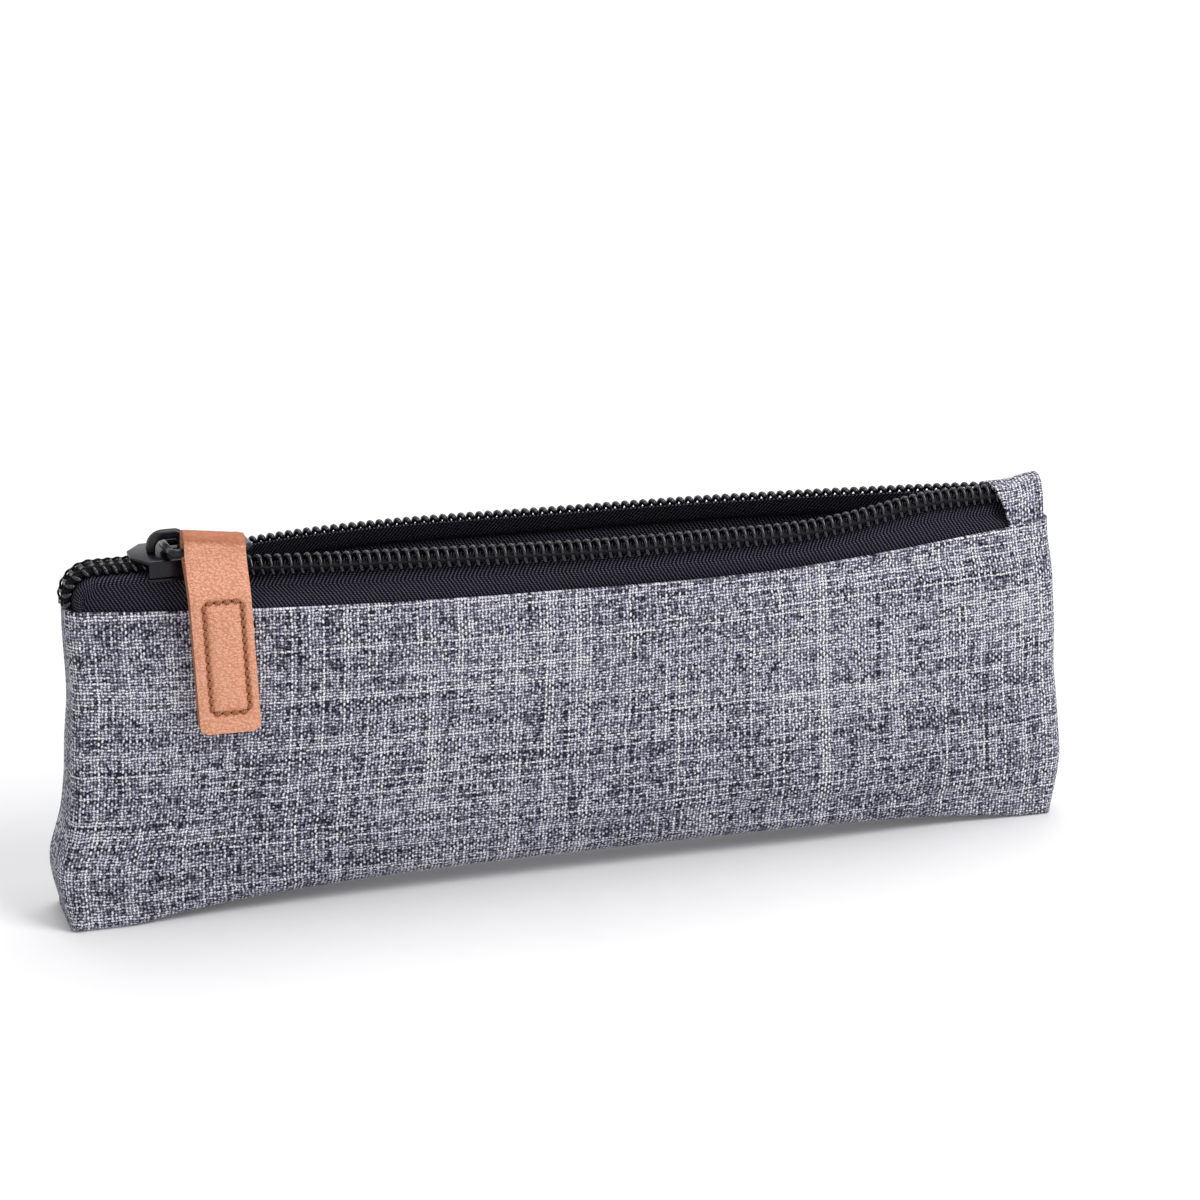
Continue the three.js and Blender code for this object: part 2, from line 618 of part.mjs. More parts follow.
const finish = (color, roughness, metalness = 0) =>
  new THREE.MeshStandardMaterial({ color, roughness, metalness });
const WOVEN_GREY = [0x828191, 0.95];
const FOAM_WHITE = [0xd8d8d4, 0.9];
const FOIL_LINING = [0x2b2b30, 0.6];
const TAPE_BLACK = [0x292935, 0.9];
const COIL_BLACK = [0x15151a, 0.35];
const SLIDER_BLACK = [0x1c1c22, 0.4, 0.3];
const TAN_LEATHER = [0xd6967a, 0.6];
const BROWN_THREAD = [0x85441d, 0.8];

function piece(name, geometry, look) {
  const mesh = new THREE.Mesh(geometry, finish(...look));
  mesh.name = name;
  return mesh;
}

const coolingCase = new THREE.Group();
for (const [side, word] of [
  [FRONT, "front"],
  [REAR, "rear"],
]) {
  coolingCase.add(
    piece(`${word}_panel`, wallLayer(side, 0, PANEL_THICKNESS, 0), WOVEN_GREY),
    piece(`${word}_insulation`, wallLayer(side, FOAM_INSET, FOAM_THICKNESS, FOAM_BELOW_EDGE), FOAM_WHITE),
    piece(`${word}_lining`, wallLayer(side, LINING_INSET, LINING_THICKNESS, LINING_BELOW_EDGE), FOIL_LINING),
    piece(`${word}_zip_tape`, zipTape(side), TAPE_BLACK),
    piece(`${word}_zip_coil`, coilRow(side), COIL_BLACK),
  );
}
coolingCase.add(piece("zip_end_tab", endTab(), WOVEN_GREY));
coolingCase.add(piece("slider_body", sliderBody(), SLIDER_BLACK));
coolingCase.add(piece("slider_crown", sliderCrown(), SLIDER_BLACK));
coolingCase.add(piece("pull_ring", pullRing(), SLIDER_BLACK));

const strap = new THREE.Group();
strap.position.set(STRAP_LEFT, -FRONT_ARM_DEPTH, FRONT_ARM_HEIGHT);
strap.add(piece("pull_strap", pullStrap(), TAN_LEATHER));
strap.add(piece("strap_stitching", strapStitching(), BROWN_THREAD));
coolingCase.add(strap);

export default coolingCase;
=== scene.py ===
"""A slim insulated zip case of grey woven cloth, standing half open on its base.

Sizes in the classes are millimetres, as a pattern cutter states them. Meshes are metres, in the
frame's axes: X along the case, -Y towards the front, Z up.
"""

import logging
import math
from dataclasses import dataclass, field
from enum import Enum
from typing import Callable, Sequence, Union

import bmesh
import bpy
from mathutils import Matrix, Vector, noise


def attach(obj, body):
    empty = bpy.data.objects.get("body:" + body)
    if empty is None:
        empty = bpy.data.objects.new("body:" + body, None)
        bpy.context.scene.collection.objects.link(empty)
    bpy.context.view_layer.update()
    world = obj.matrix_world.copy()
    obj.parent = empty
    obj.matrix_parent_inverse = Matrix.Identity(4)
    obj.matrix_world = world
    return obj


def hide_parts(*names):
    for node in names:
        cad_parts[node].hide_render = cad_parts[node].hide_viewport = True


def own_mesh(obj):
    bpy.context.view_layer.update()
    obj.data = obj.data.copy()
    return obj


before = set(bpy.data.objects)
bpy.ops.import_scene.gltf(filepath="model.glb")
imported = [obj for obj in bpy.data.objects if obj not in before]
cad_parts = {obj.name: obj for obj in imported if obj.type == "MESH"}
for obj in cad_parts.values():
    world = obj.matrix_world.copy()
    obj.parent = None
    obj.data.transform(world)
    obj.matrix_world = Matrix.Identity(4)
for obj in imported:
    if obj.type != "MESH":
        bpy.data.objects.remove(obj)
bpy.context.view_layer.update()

LOG = logging.getLogger("cooling_case")
MM = 0.001
QUARTER = math.pi / 2

Object = bpy.types.Object
Material = bpy.types.Material
Socket = bpy.types.NodeSocket
Feed = Union[Socket, float, Sequence[float]]
Colour = tuple[float, float, float]
Place = tuple[float, float, float]
Flat = tuple[float, float]
Span = tuple[float, float]
Bell = tuple[float, float, float]
Grid = list[list[Vector]]
FlatGrid = list[list[Flat]]


class Side(Enum):
    """The two walls of the case, by the sign of their Y."""

    FRONT = -1
    REAR = 1

    @property
    def word(self) -> str:
        """The side's name in piece names."""
        return self.name.lower()


class Body(Enum):
    """The moving groups of the frame."""

    CASE = "case"
    SLIDER = "slider"
    RING = "ring"
    STRAP = "strap"


def lerp(a: float, b: float, t: float) -> float:
    """The value a share t of the way from a to b."""
    return a + (b - a) * t


def clamp(t: float) -> float:
    """t held between 0 and 1."""
    return min(1.0, max(0.0, t))


def smooth(value: float, low: float, high: float) -> float:
    """A smooth step from 0 at low to 1 at high."""
    t = clamp((value - low) / (high - low))
    return t * t * (3 - 2 * t)


def ease_out(t: float) -> float:
    """A quarter sine from 0 to 1."""
    return math.sin(QUARTER * clamp(t))


def hump(value: float, centre: float, width: float) -> float:
    """A bell of height 1 at centre."""
    return math.exp(-(((value - centre) / width) ** 2))


def waves(x: float, z: float, length: Flat, seed: float) -> float:
    """Smooth noise, with waves of a length each way."""
    return noise.noise(Vector((x / length[0], z / length[1], seed)))


def lengths_along(points: Sequence[Sequence[float]]) -> list[float]:
    """Length along a line of points, at each of them.

    Args:
        points: the points.

    Returns:
        The lengths, from 0.
    """
    total = [0.0]
    for a, b in zip(points, points[1:]):
        total.append(total[-1] + math.dist(a, b))
    return total


def axes_at(place: Sequence[float], *axes: Vector) -> Matrix:
    """A frame at a place, by its three axes."""
    return Matrix.Translation(place) @ Matrix(axes).transposed().to_4x4()


def quarter_turn(steps: int) -> list[float]:
    """Angles round a quarter circle, both its ends among them."""
    return [QUARTER * i / steps for i in range(steps + 1)]


# Node graphs


class Graph:
    """A node tree, with short calls for the nodes that the finishes use."""

    def __init__(self, name: str, world: bool = False) -> None:
        """Starts an empty tree.

        Args:
            name: the material's or world's name.
            world: True for a world.
        """
        stock = bpy.data.worlds if world else bpy.data.materials
        self.owner = stock.new(name)
        self.owner.use_nodes = True
        self.tree = self.owner.node_tree
        self.tree.nodes.clear()
        self.output = self.node("OutputWorld" if world else "OutputMaterial")

    def node(self, kind: str, **settings: object) -> bpy.types.Node:
        """Adds a node.

        Args:
            kind: the node's type name after "ShaderNode".
            settings: attributes to set on it.

        Returns:
            The node.
        """
        made = self.tree.nodes.new("ShaderNode" + kind)
        for key, value in settings.items():
            setattr(made, key, value)
        return made

    def feed(self, socket: Socket, value: Feed) -> None:
        """Links a socket to another, or sets its own value.

        Args:
            socket: the input.
            value: an output socket, or a constant.
        """
        if isinstance(value, Socket):
            self.tree.links.new(value, socket)
        else:
            socket.default_value = value

    def fed(self, kind: str, **inputs: Feed) -> bpy.types.Node:
        """Adds a node and feeds its inputs.

        Args:
            kind: the node's type name after "ShaderNode".
            inputs: its sockets, with underscores for spaces.

        Returns:
            The node.
        """
        made = self.node(kind)
        for key, value in inputs.items():
            self.feed(made.inputs[key.replace("_", " ")], value)
        return made

    def math(self, operation: str, *values: Feed) -> Socket:
        """One step of arithmetic.

        Args:
            operation: a Math node's operation.
            values: its operands.

        Returns:
            The result's socket.
        """
        made = self.node("Math", operation=operation)
        for socket, value in zip(made.inputs, values):
            self.feed(socket, value)
        return made.outputs[0]

    def vector(self, x: Feed, y: Feed, z: Feed) -> Socket:
        """Three values as one vector."""
        return self.fed("CombineXYZ", X=x, Y=y, Z=z).outputs[0]

    def cloth(self) -> tuple[Socket, Socket]:
        """Metres along and across the piece's own cloth."""
        parts = self.fed("SeparateXYZ", Vector=self.node("UVMap", uv_map="Cloth").outputs[0])
        return parts.outputs[0], parts.outputs[1]

    def spread(self, u: Socket, v: Socket, along: float, across: float, layer: float) -> Socket:
        """A place on the cloth for noise to read, in cells per metre, on a layer of its own."""
        return self.vector(self.math("MULTIPLY", u, along), self.math("MULTIPLY", v, across), layer)

    def vary(self, tone: Feed, spread: Socket, strength: float) -> Socket:
        """A tone moved up and down by noise about 0.5."""
        return self.math("MULTIPLY_ADD", self.math("SUBTRACT", spread, 0.5), strength, tone)

    def wave(self, value: Socket, turns: float) -> Socket:
        """A sine of a value, with so many half turns to 1."""
        return self.math("SINE", self.math("MULTIPLY", value, turns * math.pi))

    def place(self) -> Socket:
        """The point on the object, in metres."""
        return self.node("TexCoord").outputs["Object"]

    def scaled(self, vector: Socket, scale: Sequence[float]) -> Socket:
        """A vector stretched along its axes."""
        return self.fed("Mapping", Vector=vector, Scale=scale).outputs[0]

    def noise(
        self, vector: Socket, scale: float = 1.0, detail: float = 1.0, rough: float = 0.5
    ) -> Socket:
        """Soft noise about 0.5, by its frequency, its octaves and how strong the finer ones are."""
        made = self.fed("TexNoise", Vector=vector, Scale=scale, Detail=detail, Roughness=rough)
        return made.outputs["Fac"]

    def cells(self, vector: Socket, scale: float) -> Socket:
        """Distances in a field of uneven cells."""
        return self.fed("TexVoronoi", Vector=vector, Scale=scale).outputs["Distance"]

    def remap(
        self, value: Socket, low: float, high: float, to_low: float = 0.0, to_high: float = 1.0
    ) -> Socket:
        """A value moved from one range to another and held there.

        Args:
            value: the value.
            low: start of its range.
            high: end of its range.
            to_low: start of the new range.
            to_high: end of the new range.

        Returns:
            The new value's socket.
        """
        made = self.node("MapRange", clamp=True)
        for socket, fed in zip(made.inputs, (value, low, high, to_low, to_high)):
            self.feed(socket, fed)
        return made.outputs[0]

    def attribute(self, name: str) -> Socket:
        """A value painted on the mesh."""
        return self.node("Attribute", attribute_name=name).outputs["Fac"]

    def ramp(self, value: Socket, stops: Sequence[tuple[float, Sequence[float]]]) -> Socket:
        """A value as a colour.

        Args:
            value: from 0 to 1.
            stops: place and linear colour of each stop.

        Returns:
            The colour's socket.
        """
        made = self.node("ValToRGB")
        self.feed(made.inputs[0], value)
        elements = made.color_ramp.elements
        while len(elements) < len(stops):
            elements.new(1.0)
        for element, (place, colour) in zip(elements, stops):
            element.position = place
            element.color = (*colour, 1.0)
        return made.outputs[0]

    def blend(self, share: Feed, a: Feed, b: Feed, kind: str = "MIX") -> Socket:
        """Two colours mixed.

        Args:
            share: how much of b.
            a: first colour.
            b: second colour.
            kind: a Mix node's blend type.

        Returns:
            The colour's socket.
        """
        made = self.node("Mix", data_type="RGBA", blend_type=kind)
        self.feed(made.inputs[0], share)
        for socket, value in ((made.inputs[6], a), (made.inputs[7], b)):
            self.feed(socket, value if isinstance(value, Socket) else (*value, 1.0))
        return made.outputs[2]

    def bump(self, height: Socket, depth: float, strength: float) -> Socket:
        """A normal raised by a height from 0 to 1, where 1 stands for a depth in millimetres."""
        made = self.fed("Bump", Strength=strength, Distance=depth * MM, Height=height)
        return made.outputs[0]

    def to_the_eye(self) -> Socket:
        """Tells what the camera sees, also by way of metal and glass, from light on the object.

        Returns:
            The socket of a value that is 1 for what is seen.
        """
        paths = self.node("LightPath").outputs
        seen = self.math("MAXIMUM", paths["Is Camera Ray"], paths["Is Glossy Ray"])
        return self.math("MAXIMUM", seen, paths["Is Transmission Ray"])

    def surface(self, **inputs: Feed) -> Material:
        """Ends the tree with a Principled surface.

        Args:
            inputs: its sockets, with underscores for spaces.

        Returns:
            The material.
        """
        shader = self.fed("BsdfPrincipled", **inputs)
        self.feed(self.output.inputs[0], shader.outputs[0])
        return self.owner


# Finishes


@dataclass(frozen=True)
class MelangeWeave:
    """Plain weave of uneven grey yarns, each shading from near black to white along its length."""

    name: str = "melange_weave"
    warp_pitch: float = 0.77
    weft_pitch: float = 0.68
    warp_seed: float = 1.0
    weft_seed: float = 40.0
    ink: Colour = (0.024, 0.024, 0.040)
    slate: Colour = (0.270, 0.265, 0.350)
    ash: Colour = (0.720, 0.712, 0.860)
    chalk: Colour = (0.980, 0.980, 1.000)
    gap_shade: float = 0.02
    crimp: float = 0.55
    checker: float = 0.04
    mid_tone: float = 0.42
    pale_rarity: float = 2.2
    drift: float = 1.1
    drift_cells: Flat = (160, 420)
    speck: float = 0.55
    cloud: float = 0.30
    cloud_cells: Flat = (22, 30)
    fuzz: float = 0.3
    fuzz_cells: Flat = (5200, 5200)
    yarn_step: float = 13.73
    mottle: float = 1.15
    mottle_cells: float = 210
    pale: float = 0.62
    pale_cells: float = 13
    dark: float = 0.30
    dark_cells: float = 17

    def build(self) -> Material:
        """Makes the material.

        Returns:
            The material.
        """
        g = Graph(self.name)
        u, v = g.cloth()
        slow, fast = self.drift_cells
        drift_u = g.noise(g.spread(u, v, slow, fast, 2.0), detail=2)
        drift_v = g.noise(g.spread(u, v, fast, slow, 7.0), detail=2)
        warp = self._count(g, u, self.warp_pitch, drift_u)
        weft = self._count(g, v, self.weft_pitch, drift_v)
        warp_id, weft_id = g.math("FLOOR", warp), g.math("FLOOR", weft)
        parity = g.math("PINGPONG", g.math("ADD", warp_id, weft_id), 1.0)
        warp_on_top = g.math("GREATER_THAN", parity, 0.5)

        across_warp = g.wave(g.math("FRACT", warp), 1)
        across_weft = g.wave(g.math("FRACT", weft), 1)
        lift = g.math("MULTIPLY_ADD", warp_on_top, 2 * self.crimp, -self.crimp)
        warp_high = g.math("MULTIPLY_ADD", lift, across_weft, across_warp)
        weft_high = g.math("SUBTRACT", across_weft, g.math("MULTIPLY", lift, across_warp))
        warp_seen = g.math("GREATER_THAN", warp_high, weft_high)
        height = g.math("MAXIMUM", warp_high, weft_high)

        warp_tone = g.math("ADD", self._yarn(g, warp_id, v, self.warp_seed), self.checker)
        weft_tone = g.math("SUBTRACT", self._yarn(g, weft_id, u, self.weft_seed), self.checker)
        tone = self._either(g, warp_seen, warp_tone, weft_tone)
        speck = g.node("TexWhiteNoise", noise_dimensions="3D")
        near_u = g.math("ROUND", g.math("SUBTRACT", warp, g.math("MULTIPLY", warp_seen, 0.5)))
        half_back = g.math("SUBTRACT", weft, 0.5)
        near_v = g.math("ROUND", g.math("MULTIPLY_ADD", warp_seen, 0.5, half_back))
        g.feed(speck.inputs["Vector"], g.vector(near_u, near_v, warp_seen))
        tone = g.vary(tone, speck.outputs["Value"], self.speck)
        cloud = g.noise(g.spread(u, v, *self.cloud_cells, 90.0), detail=2)
        tone = g.vary(tone, cloud, self.cloud)
        colour = g.ramp(
            tone,
            [(0.14, self.ink), (0.40, self.slate), (0.62, self.ash), (0.86, self.chalk)],
        )
        # Painted shade: the colour darkens towards each yarn's edges and most in the gaps between
        # the yarns, down to gap_shade.
        edge = g.remap(self._either(g, warp_seen, across_warp, across_weft), 0.30, 0.98)
        round_off = g.math("MULTIPLY", edge, g.remap(height, 0.40, 1.35, 0.30, 1.0))
        shade = g.remap(round_off, 0.0, 1.0, self.gap_shade, 1.0)
        colour = g.blend(1.0, colour, g.vector(shade, shade, shade), "MULTIPLY")
        fuzz = g.noise(g.spread(u, v, *self.fuzz_cells, 5.0), detail=2)
        relief = g.math("MULTIPLY_ADD", fuzz, self.fuzz, height)
        return g.surface(
            Base_Color=colour,
            Roughness=0.9,
            Specular_IOR_Level=0.12,
            Sheen_Weight=0.05,
            Sheen_Roughness=0.5,
            Normal=g.bump(relief, 0.13, 0.9),
        )

    def _count(self, g: Graph, across: Socket, pitch: float, drift: Socket) -> Socket:
        """Yarns counted across the cloth, with a drift that keeps them from being even."""
        wander = g.math("MULTIPLY", drift, self.drift)
        return g.math("MULTIPLY_ADD", across, 1 / (pitch * MM), wander)

    @staticmethod
    def _either(g: Graph, share: Socket, a: Socket, b: Socket) -> Socket:
        """A share of a, and the rest of b."""
        rest = g.math("MULTIPLY", b, g.math("SUBTRACT", 1.0, share))
        return g.math("MULTIPLY_ADD", a, share, rest)

    def _yarn(self, g: Graph, yarn: Socket, along: Socket, seed: float) -> Socket:
        """The tone of a yarn, from 0 to 1, by its number and the place along it.

        Args:
            g: the graph.
            yarn: the yarn's number.
            along: metres along it.
            seed: keeps the two sets apart.

        Returns:
            The tone's socket.
        """
        track = g.math("MULTIPLY", yarn, self.yarn_step)

        def along_yarn(cells: float, layer: float) -> Socket:
            """A place along the yarn for noise to read."""
            return g.vector(track, g.math("MULTIPLY", along, cells), layer)

        lot = g.node("TexWhiteNoise", noise_dimensions="1D")
        g.feed(lot.inputs["W"], g.math("ADD", yarn, seed + 0.37))
        rare = g.math("POWER", lot.outputs["Value"], self.pale_rarity)
        mottle = g.noise(along_yarn(self.mottle_cells, seed), detail=2.5, rough=0.6)
        spell = g.remap(g.noise(along_yarn(self.pale_cells, seed + 9), detail=1), 0.38, 0.58)
        pick = g.remap(g.noise(along_yarn(self.dark_cells, seed + 23), detail=1), 0.60, 0.70)
        tone = g.vary(self.mid_tone, mottle, self.mottle)
        tone = g.math("MULTIPLY_ADD", g.math("MULTIPLY", rare, spell), self.pale, tone)
        return g.math("MULTIPLY_ADD", pick, -self.dark, tone)


@dataclass(frozen=True)
class HerringboneTape:
    """Black zip tape, woven in slanting ribs that turn at a line along its middle."""

    name: str = "herringbone_tape"
    rib: float = 0.86
    slope: float = 0.62
    turn_at: float = 5.9
    pick: float = 0.42
    # Painted light on the black tape: low is shade in the grooves between the ribs, high a sheen on
    # their crests.
    low: Colour = (0.0008, 0.0008, 0.0014)
    high: Colour = (0.098, 0.092, 0.140)

    def build(self) -> Material:
        """Makes the material.

        Returns:
            The material.
        """
        g = Graph(self.name)
        u, v = g.cloth()
        band = g.math("ABSOLUTE", g.math("SUBTRACT", v, self.turn_at * MM))
        skew = g.math("MULTIPLY_ADD", band, -self.slope, u)
        wander = g.noise(g.spread(u, v, 500, 900, 1.0), detail=2)
        phase = g.math("MULTIPLY_ADD", skew, 1 / (self.rib * MM), g.math("MULTIPLY", wander, 0.5))
        picks = g.wave(v, 2 / (self.pick * MM))
        rib = g.math("MULTIPLY_ADD", picks, 0.20, g.wave(g.math("FRACT", phase), 1))
        # Painted light: the colour follows the ribs' relief, dark in the grooves as painted shade
        # and light on the crests as a painted sheen.
        colour = g.ramp(g.remap(rib, 0.72, 1.16), [(0.0, self.low), (1.0, self.high)])
        return g.surface(
            Base_Color=colour,
            Roughness=0.7,
            Specular_IOR_Level=0.1,
            Normal=g.bump(rib, 0.20, 1.0),
        )


@dataclass(frozen=True)
class CoilNylon:
    """Glossy black monofilament."""

    name: str = "coil_nylon"
    colour: Colour = (0.0020, 0.0016, 0.0042)
    scuffed: Colour = (0.006, 0.005, 0.010)

    def build(self) -> Material:
        """Makes the material.

        Returns:
            The material.
        """
        g = Graph(self.name)
        scuff = g.noise(g.place(), 2600, detail=3)
        tint = g.ramp(scuff, [(0.3, self.colour), (0.8, self.scuffed)])
        return g.surface(
            Base_Color=tint,
            Roughness=g.remap(scuff, 0.3, 0.75, 0.09, 0.19),
            Specular_IOR_Level=0.45,
        )


@dataclass(frozen=True)
class BlackThread:
    """Dull black sewing thread."""

    name: str = "black_thread"
    low: Colour = (0.002, 0.002, 0.003)
    high: Colour = (0.012, 0.012, 0.016)

    def build(self) -> Material:
        """Makes the material.

        Returns:
            The material.
        """
        g = Graph(self.name)
        ply = g.noise(g.place(), 2400, detail=2)
        return g.surface(
            Base_Color=g.ramp(ply, [(0.35, self.low), (0.7, self.high)]),
            Roughness=0.85,
            Specular_IOR_Level=0.15,
            Normal=g.bump(ply, 0.08, 0.8),
        )


@dataclass(frozen=True)
class BlackEnamel:
    """Satin black enamel over cast metal, rubbed a little paler in patches."""

    name: str = "black_enamel"
    base: Colour = (0.0025, 0.0021, 0.0052)
    rubbed: Colour = (0.008, 0.007, 0.013)
    rough_low: float = 0.17
    rough_high: float = 0.32

    def build(self) -> Material:
        """Makes the material.

        Returns:
            The material.
        """
        g = Graph(self.name)
        place = g.place()
        rub = g.noise(place, 420, detail=4, rough=0.6)
        grain = g.noise(g.scaled(place, (400, 5200, 5200)), 1.0, detail=2)
        colour = g.ramp(rub, [(0.4, self.base), (0.75, self.rubbed)])
        return g.surface(
            Base_Color=colour,
            Specular_IOR_Level=0.28,
            Roughness=g.remap(grain, 0.3, 0.7, self.rough_low, self.rough_high),
            Normal=g.bump(grain, 0.02, 0.35),
        )


@dataclass(frozen=True)
class PebbledLeather:
    """Tan leather with a pebble grain, smoother and darker where it is folded."""

    name: str = "pebbled_leather"
    face: Colour = (0.770, 0.350, 0.215)
    # The next two colours are painted light: a highlight on the pebble tops, and shade in the
    # grain's hollows and in the stitch groove.
    pale: Colour = (0.860, 0.445, 0.300)
    crease: Colour = (0.620, 0.254, 0.143)
    fold: Colour = (0.290, 0.066, 0.008)

    def build(self) -> Material:
        """Makes the material.

        Returns:
            The material.
        """
        g = Graph(self.name)
        u, v = g.cloth()
        swirl = g.noise(g.spread(u, v, 900, 900, 3.0), detail=2)
        grain_at = g.vector(
            g.math("MULTIPLY_ADD", u, 1150, g.math("MULTIPLY", swirl, 1.2)),
            g.math("MULTIPLY_ADD", v, 1600, g.math("MULTIPLY", swirl, 0.9)),
            0.0,
        )
        fold = g.attribute("fold")
        groove = g.attribute("groove")
        # Painted light: the colour darkens into the hollows of the grain as painted shade and
        # lightens on the pebble tops as a painted highlight.
        dome = g.remap(g.cells(grain_at, 1.25), 0.05, 0.75, 1.0, 0.0)
        colour = g.ramp(dome, [(0.0, self.crease), (0.40, self.face), (1.0, self.pale)])
        dye = g.noise(g.spread(u, v, 160, 90, 8.0), detail=3)
        colour = g.blend(g.remap(dye, 0.35, 0.75, 0.0, 0.35), colour, self.face)
        folded = g.math("MULTIPLY", fold, 0.85)
        colour = g.blend(folded, colour, self.fold)
        # Painted shade in the groove that the stitches press into the face.
        colour = g.blend(g.math("MULTIPLY", groove, 0.50), colour, self.crease)
        flat = g.math("SUBTRACT", 1.0, folded)
        pores = g.noise(grain_at, 4.0, detail=2)
        relief = g.math("MULTIPLY_ADD", pores, 0.16, g.math("MULTIPLY", dome, flat))
        return g.surface(
            Base_Color=colour,
            Roughness=g.remap(dome, 0.0, 1.0, 0.56, 0.34),
            Specular_IOR_Level=0.5,
            Normal=g.bump(relief, 0.30, 0.9),
        )


@dataclass(frozen=True)
class CutEdge:
    """The raw, sealed edge of the leather, darker than its face: partly the edge's own colour,
    partly painted shade on the strap's sides.
    """

    name: str = "cut_edge"
    colour: Colour = (0.46, 0.185, 0.085)
    dark: Colour = (0.32, 0.115, 0.05)

    def build(self) -> Material:
        """Makes the material.

        Returns:
            The material.
        """
        g = Graph(self.name)
        fibre = g.noise(g.scaled(g.place(), (2200, 2200, 700)), 1.0, detail=3)
        colour = g.ramp(fibre, [(0.3, self.dark), (0.7, self.colour)])
        return g.surface(Base_Color=colour, Roughness=0.6, Normal=g.bump(fibre, 0.05, 0.6))


@dataclass(frozen=True)
class SewingThread:
    """Twisted waxed thread."""

    name: str = "sewing_thread"
    # dark is painted shade between the plies, light a painted sheen on their crests.
    dark: Colour = (0.17, 0.050, 0.015)
    light: Colour = (0.42, 0.155, 0.055)
    twists: float = 3.5

    def build(self) -> Material:
        """Makes the material.

        Returns:
            The material.
        """
        g = Graph(self.name)
        u, v = g.cloth()
        round_it = g.math("MULTIPLY", v, 2 * math.pi)
        twist = g.math("MULTIPLY_ADD", u, 2 * math.pi * self.twists, round_it)
        # Painted light: the colour follows the twist, dark in the grooves between the plies as
        # painted shade and light on their crests as a painted sheen.
        ply = g.remap(g.math("SINE", twist), -1.0, 1.0)
        return g.surface(
            Base_Color=g.ramp(ply, [(0.1, self.dark), (0.8, self.light)]),
            Roughness=0.55,
            Normal=g.bump(ply, 0.06, 0.8),
        )


@dataclass(frozen=True)
class NeedleHole:
    """Painted shade: a dark disc on the leather's face where a stitch goes into it."""

    name: str = "needle_hole"
    colour: Colour = (0.035, 0.011, 0.004)
    frayed: Colour = (0.09, 0.03, 0.012)

    def build(self) -> Material:
        """Makes the material.

        Returns:
            The material.
        """
        g = Graph(self.name)
        fray = g.noise(g.place(), 4200, detail=2)
        return g.surface(
            Base_Color=g.ramp(fray, [(0.3, self.colour), (0.8, self.frayed)]),
            Roughness=0.9,
        )


@dataclass(frozen=True)
class SatinLining:
    """Dark, close-woven lining with a faint grid of heavier yarns."""

    name: str = "satin_lining"
    dark: Colour = (0.010, 0.010, 0.014)
    pale: Colour = (0.032, 0.032, 0.042)
    pitch: float = 0.5
    grid: float = 4.0
    grid_from: float = 0.88

    def build(self) -> Material:
        """Makes the material.

        Returns:
            The material.
        """
        g = Graph(self.name)
        u, v = g.cloth()
        fine = g.math("MULTIPLY", *(g.wave(way, 2 / (self.pitch * MM)) for way in (u, v)))
        lines = [g.math("FRACT", g.math("MULTIPLY", way, 1 / (self.grid * MM))) for way in (u, v)]
        grid = g.math("MAXIMUM", *(g.math("GREATER_THAN", at, self.grid_from) for at in lines))
        relief = g.math("MULTIPLY_ADD", fine, 0.3, grid)
        crush = g.noise(g.spread(u, v, 60, 60, 4.0), detail=3)
        relief = g.math("MULTIPLY_ADD", crush, 3.0, relief)
        # Painted light: the colour follows the fine weave's relief, darker where the yarns dip as
        # painted shade and paler on their crowns as a painted sheen.
        return g.surface(
            Base_Color=g.ramp(g.remap(fine, -1.0, 1.0), [(0.2, self.dark), (0.9, self.pale)]),
            Roughness=0.46,
            Normal=g.bump(relief, 0.12, 0.7),
        )


@dataclass(frozen=True)
class CellFoam:
    """Off-white closed-cell foam."""

    name: str = "cell_foam"
    wall: Colour = (0.70, 0.70, 0.66)
    pit: Colour = (0.50, 0.50, 0.47)

    def build(self) -> Material:
        """Makes the material.

        Returns:
            The material.
        """
        g = Graph(self.name)
        # Painted shade: the colour darkens into the pit of each cell, where its relief is lowest,
        # and is lighter on the walls.
        cell = g.cells(g.place(), 1600)
        return g.surface(
            Base_Color=g.ramp(cell, [(0.1, self.pit), (0.6, self.wall)]),
            Roughness=0.9,
            Normal=g.bump(cell, 0.2, 0.6),
        )


# Work on meshes


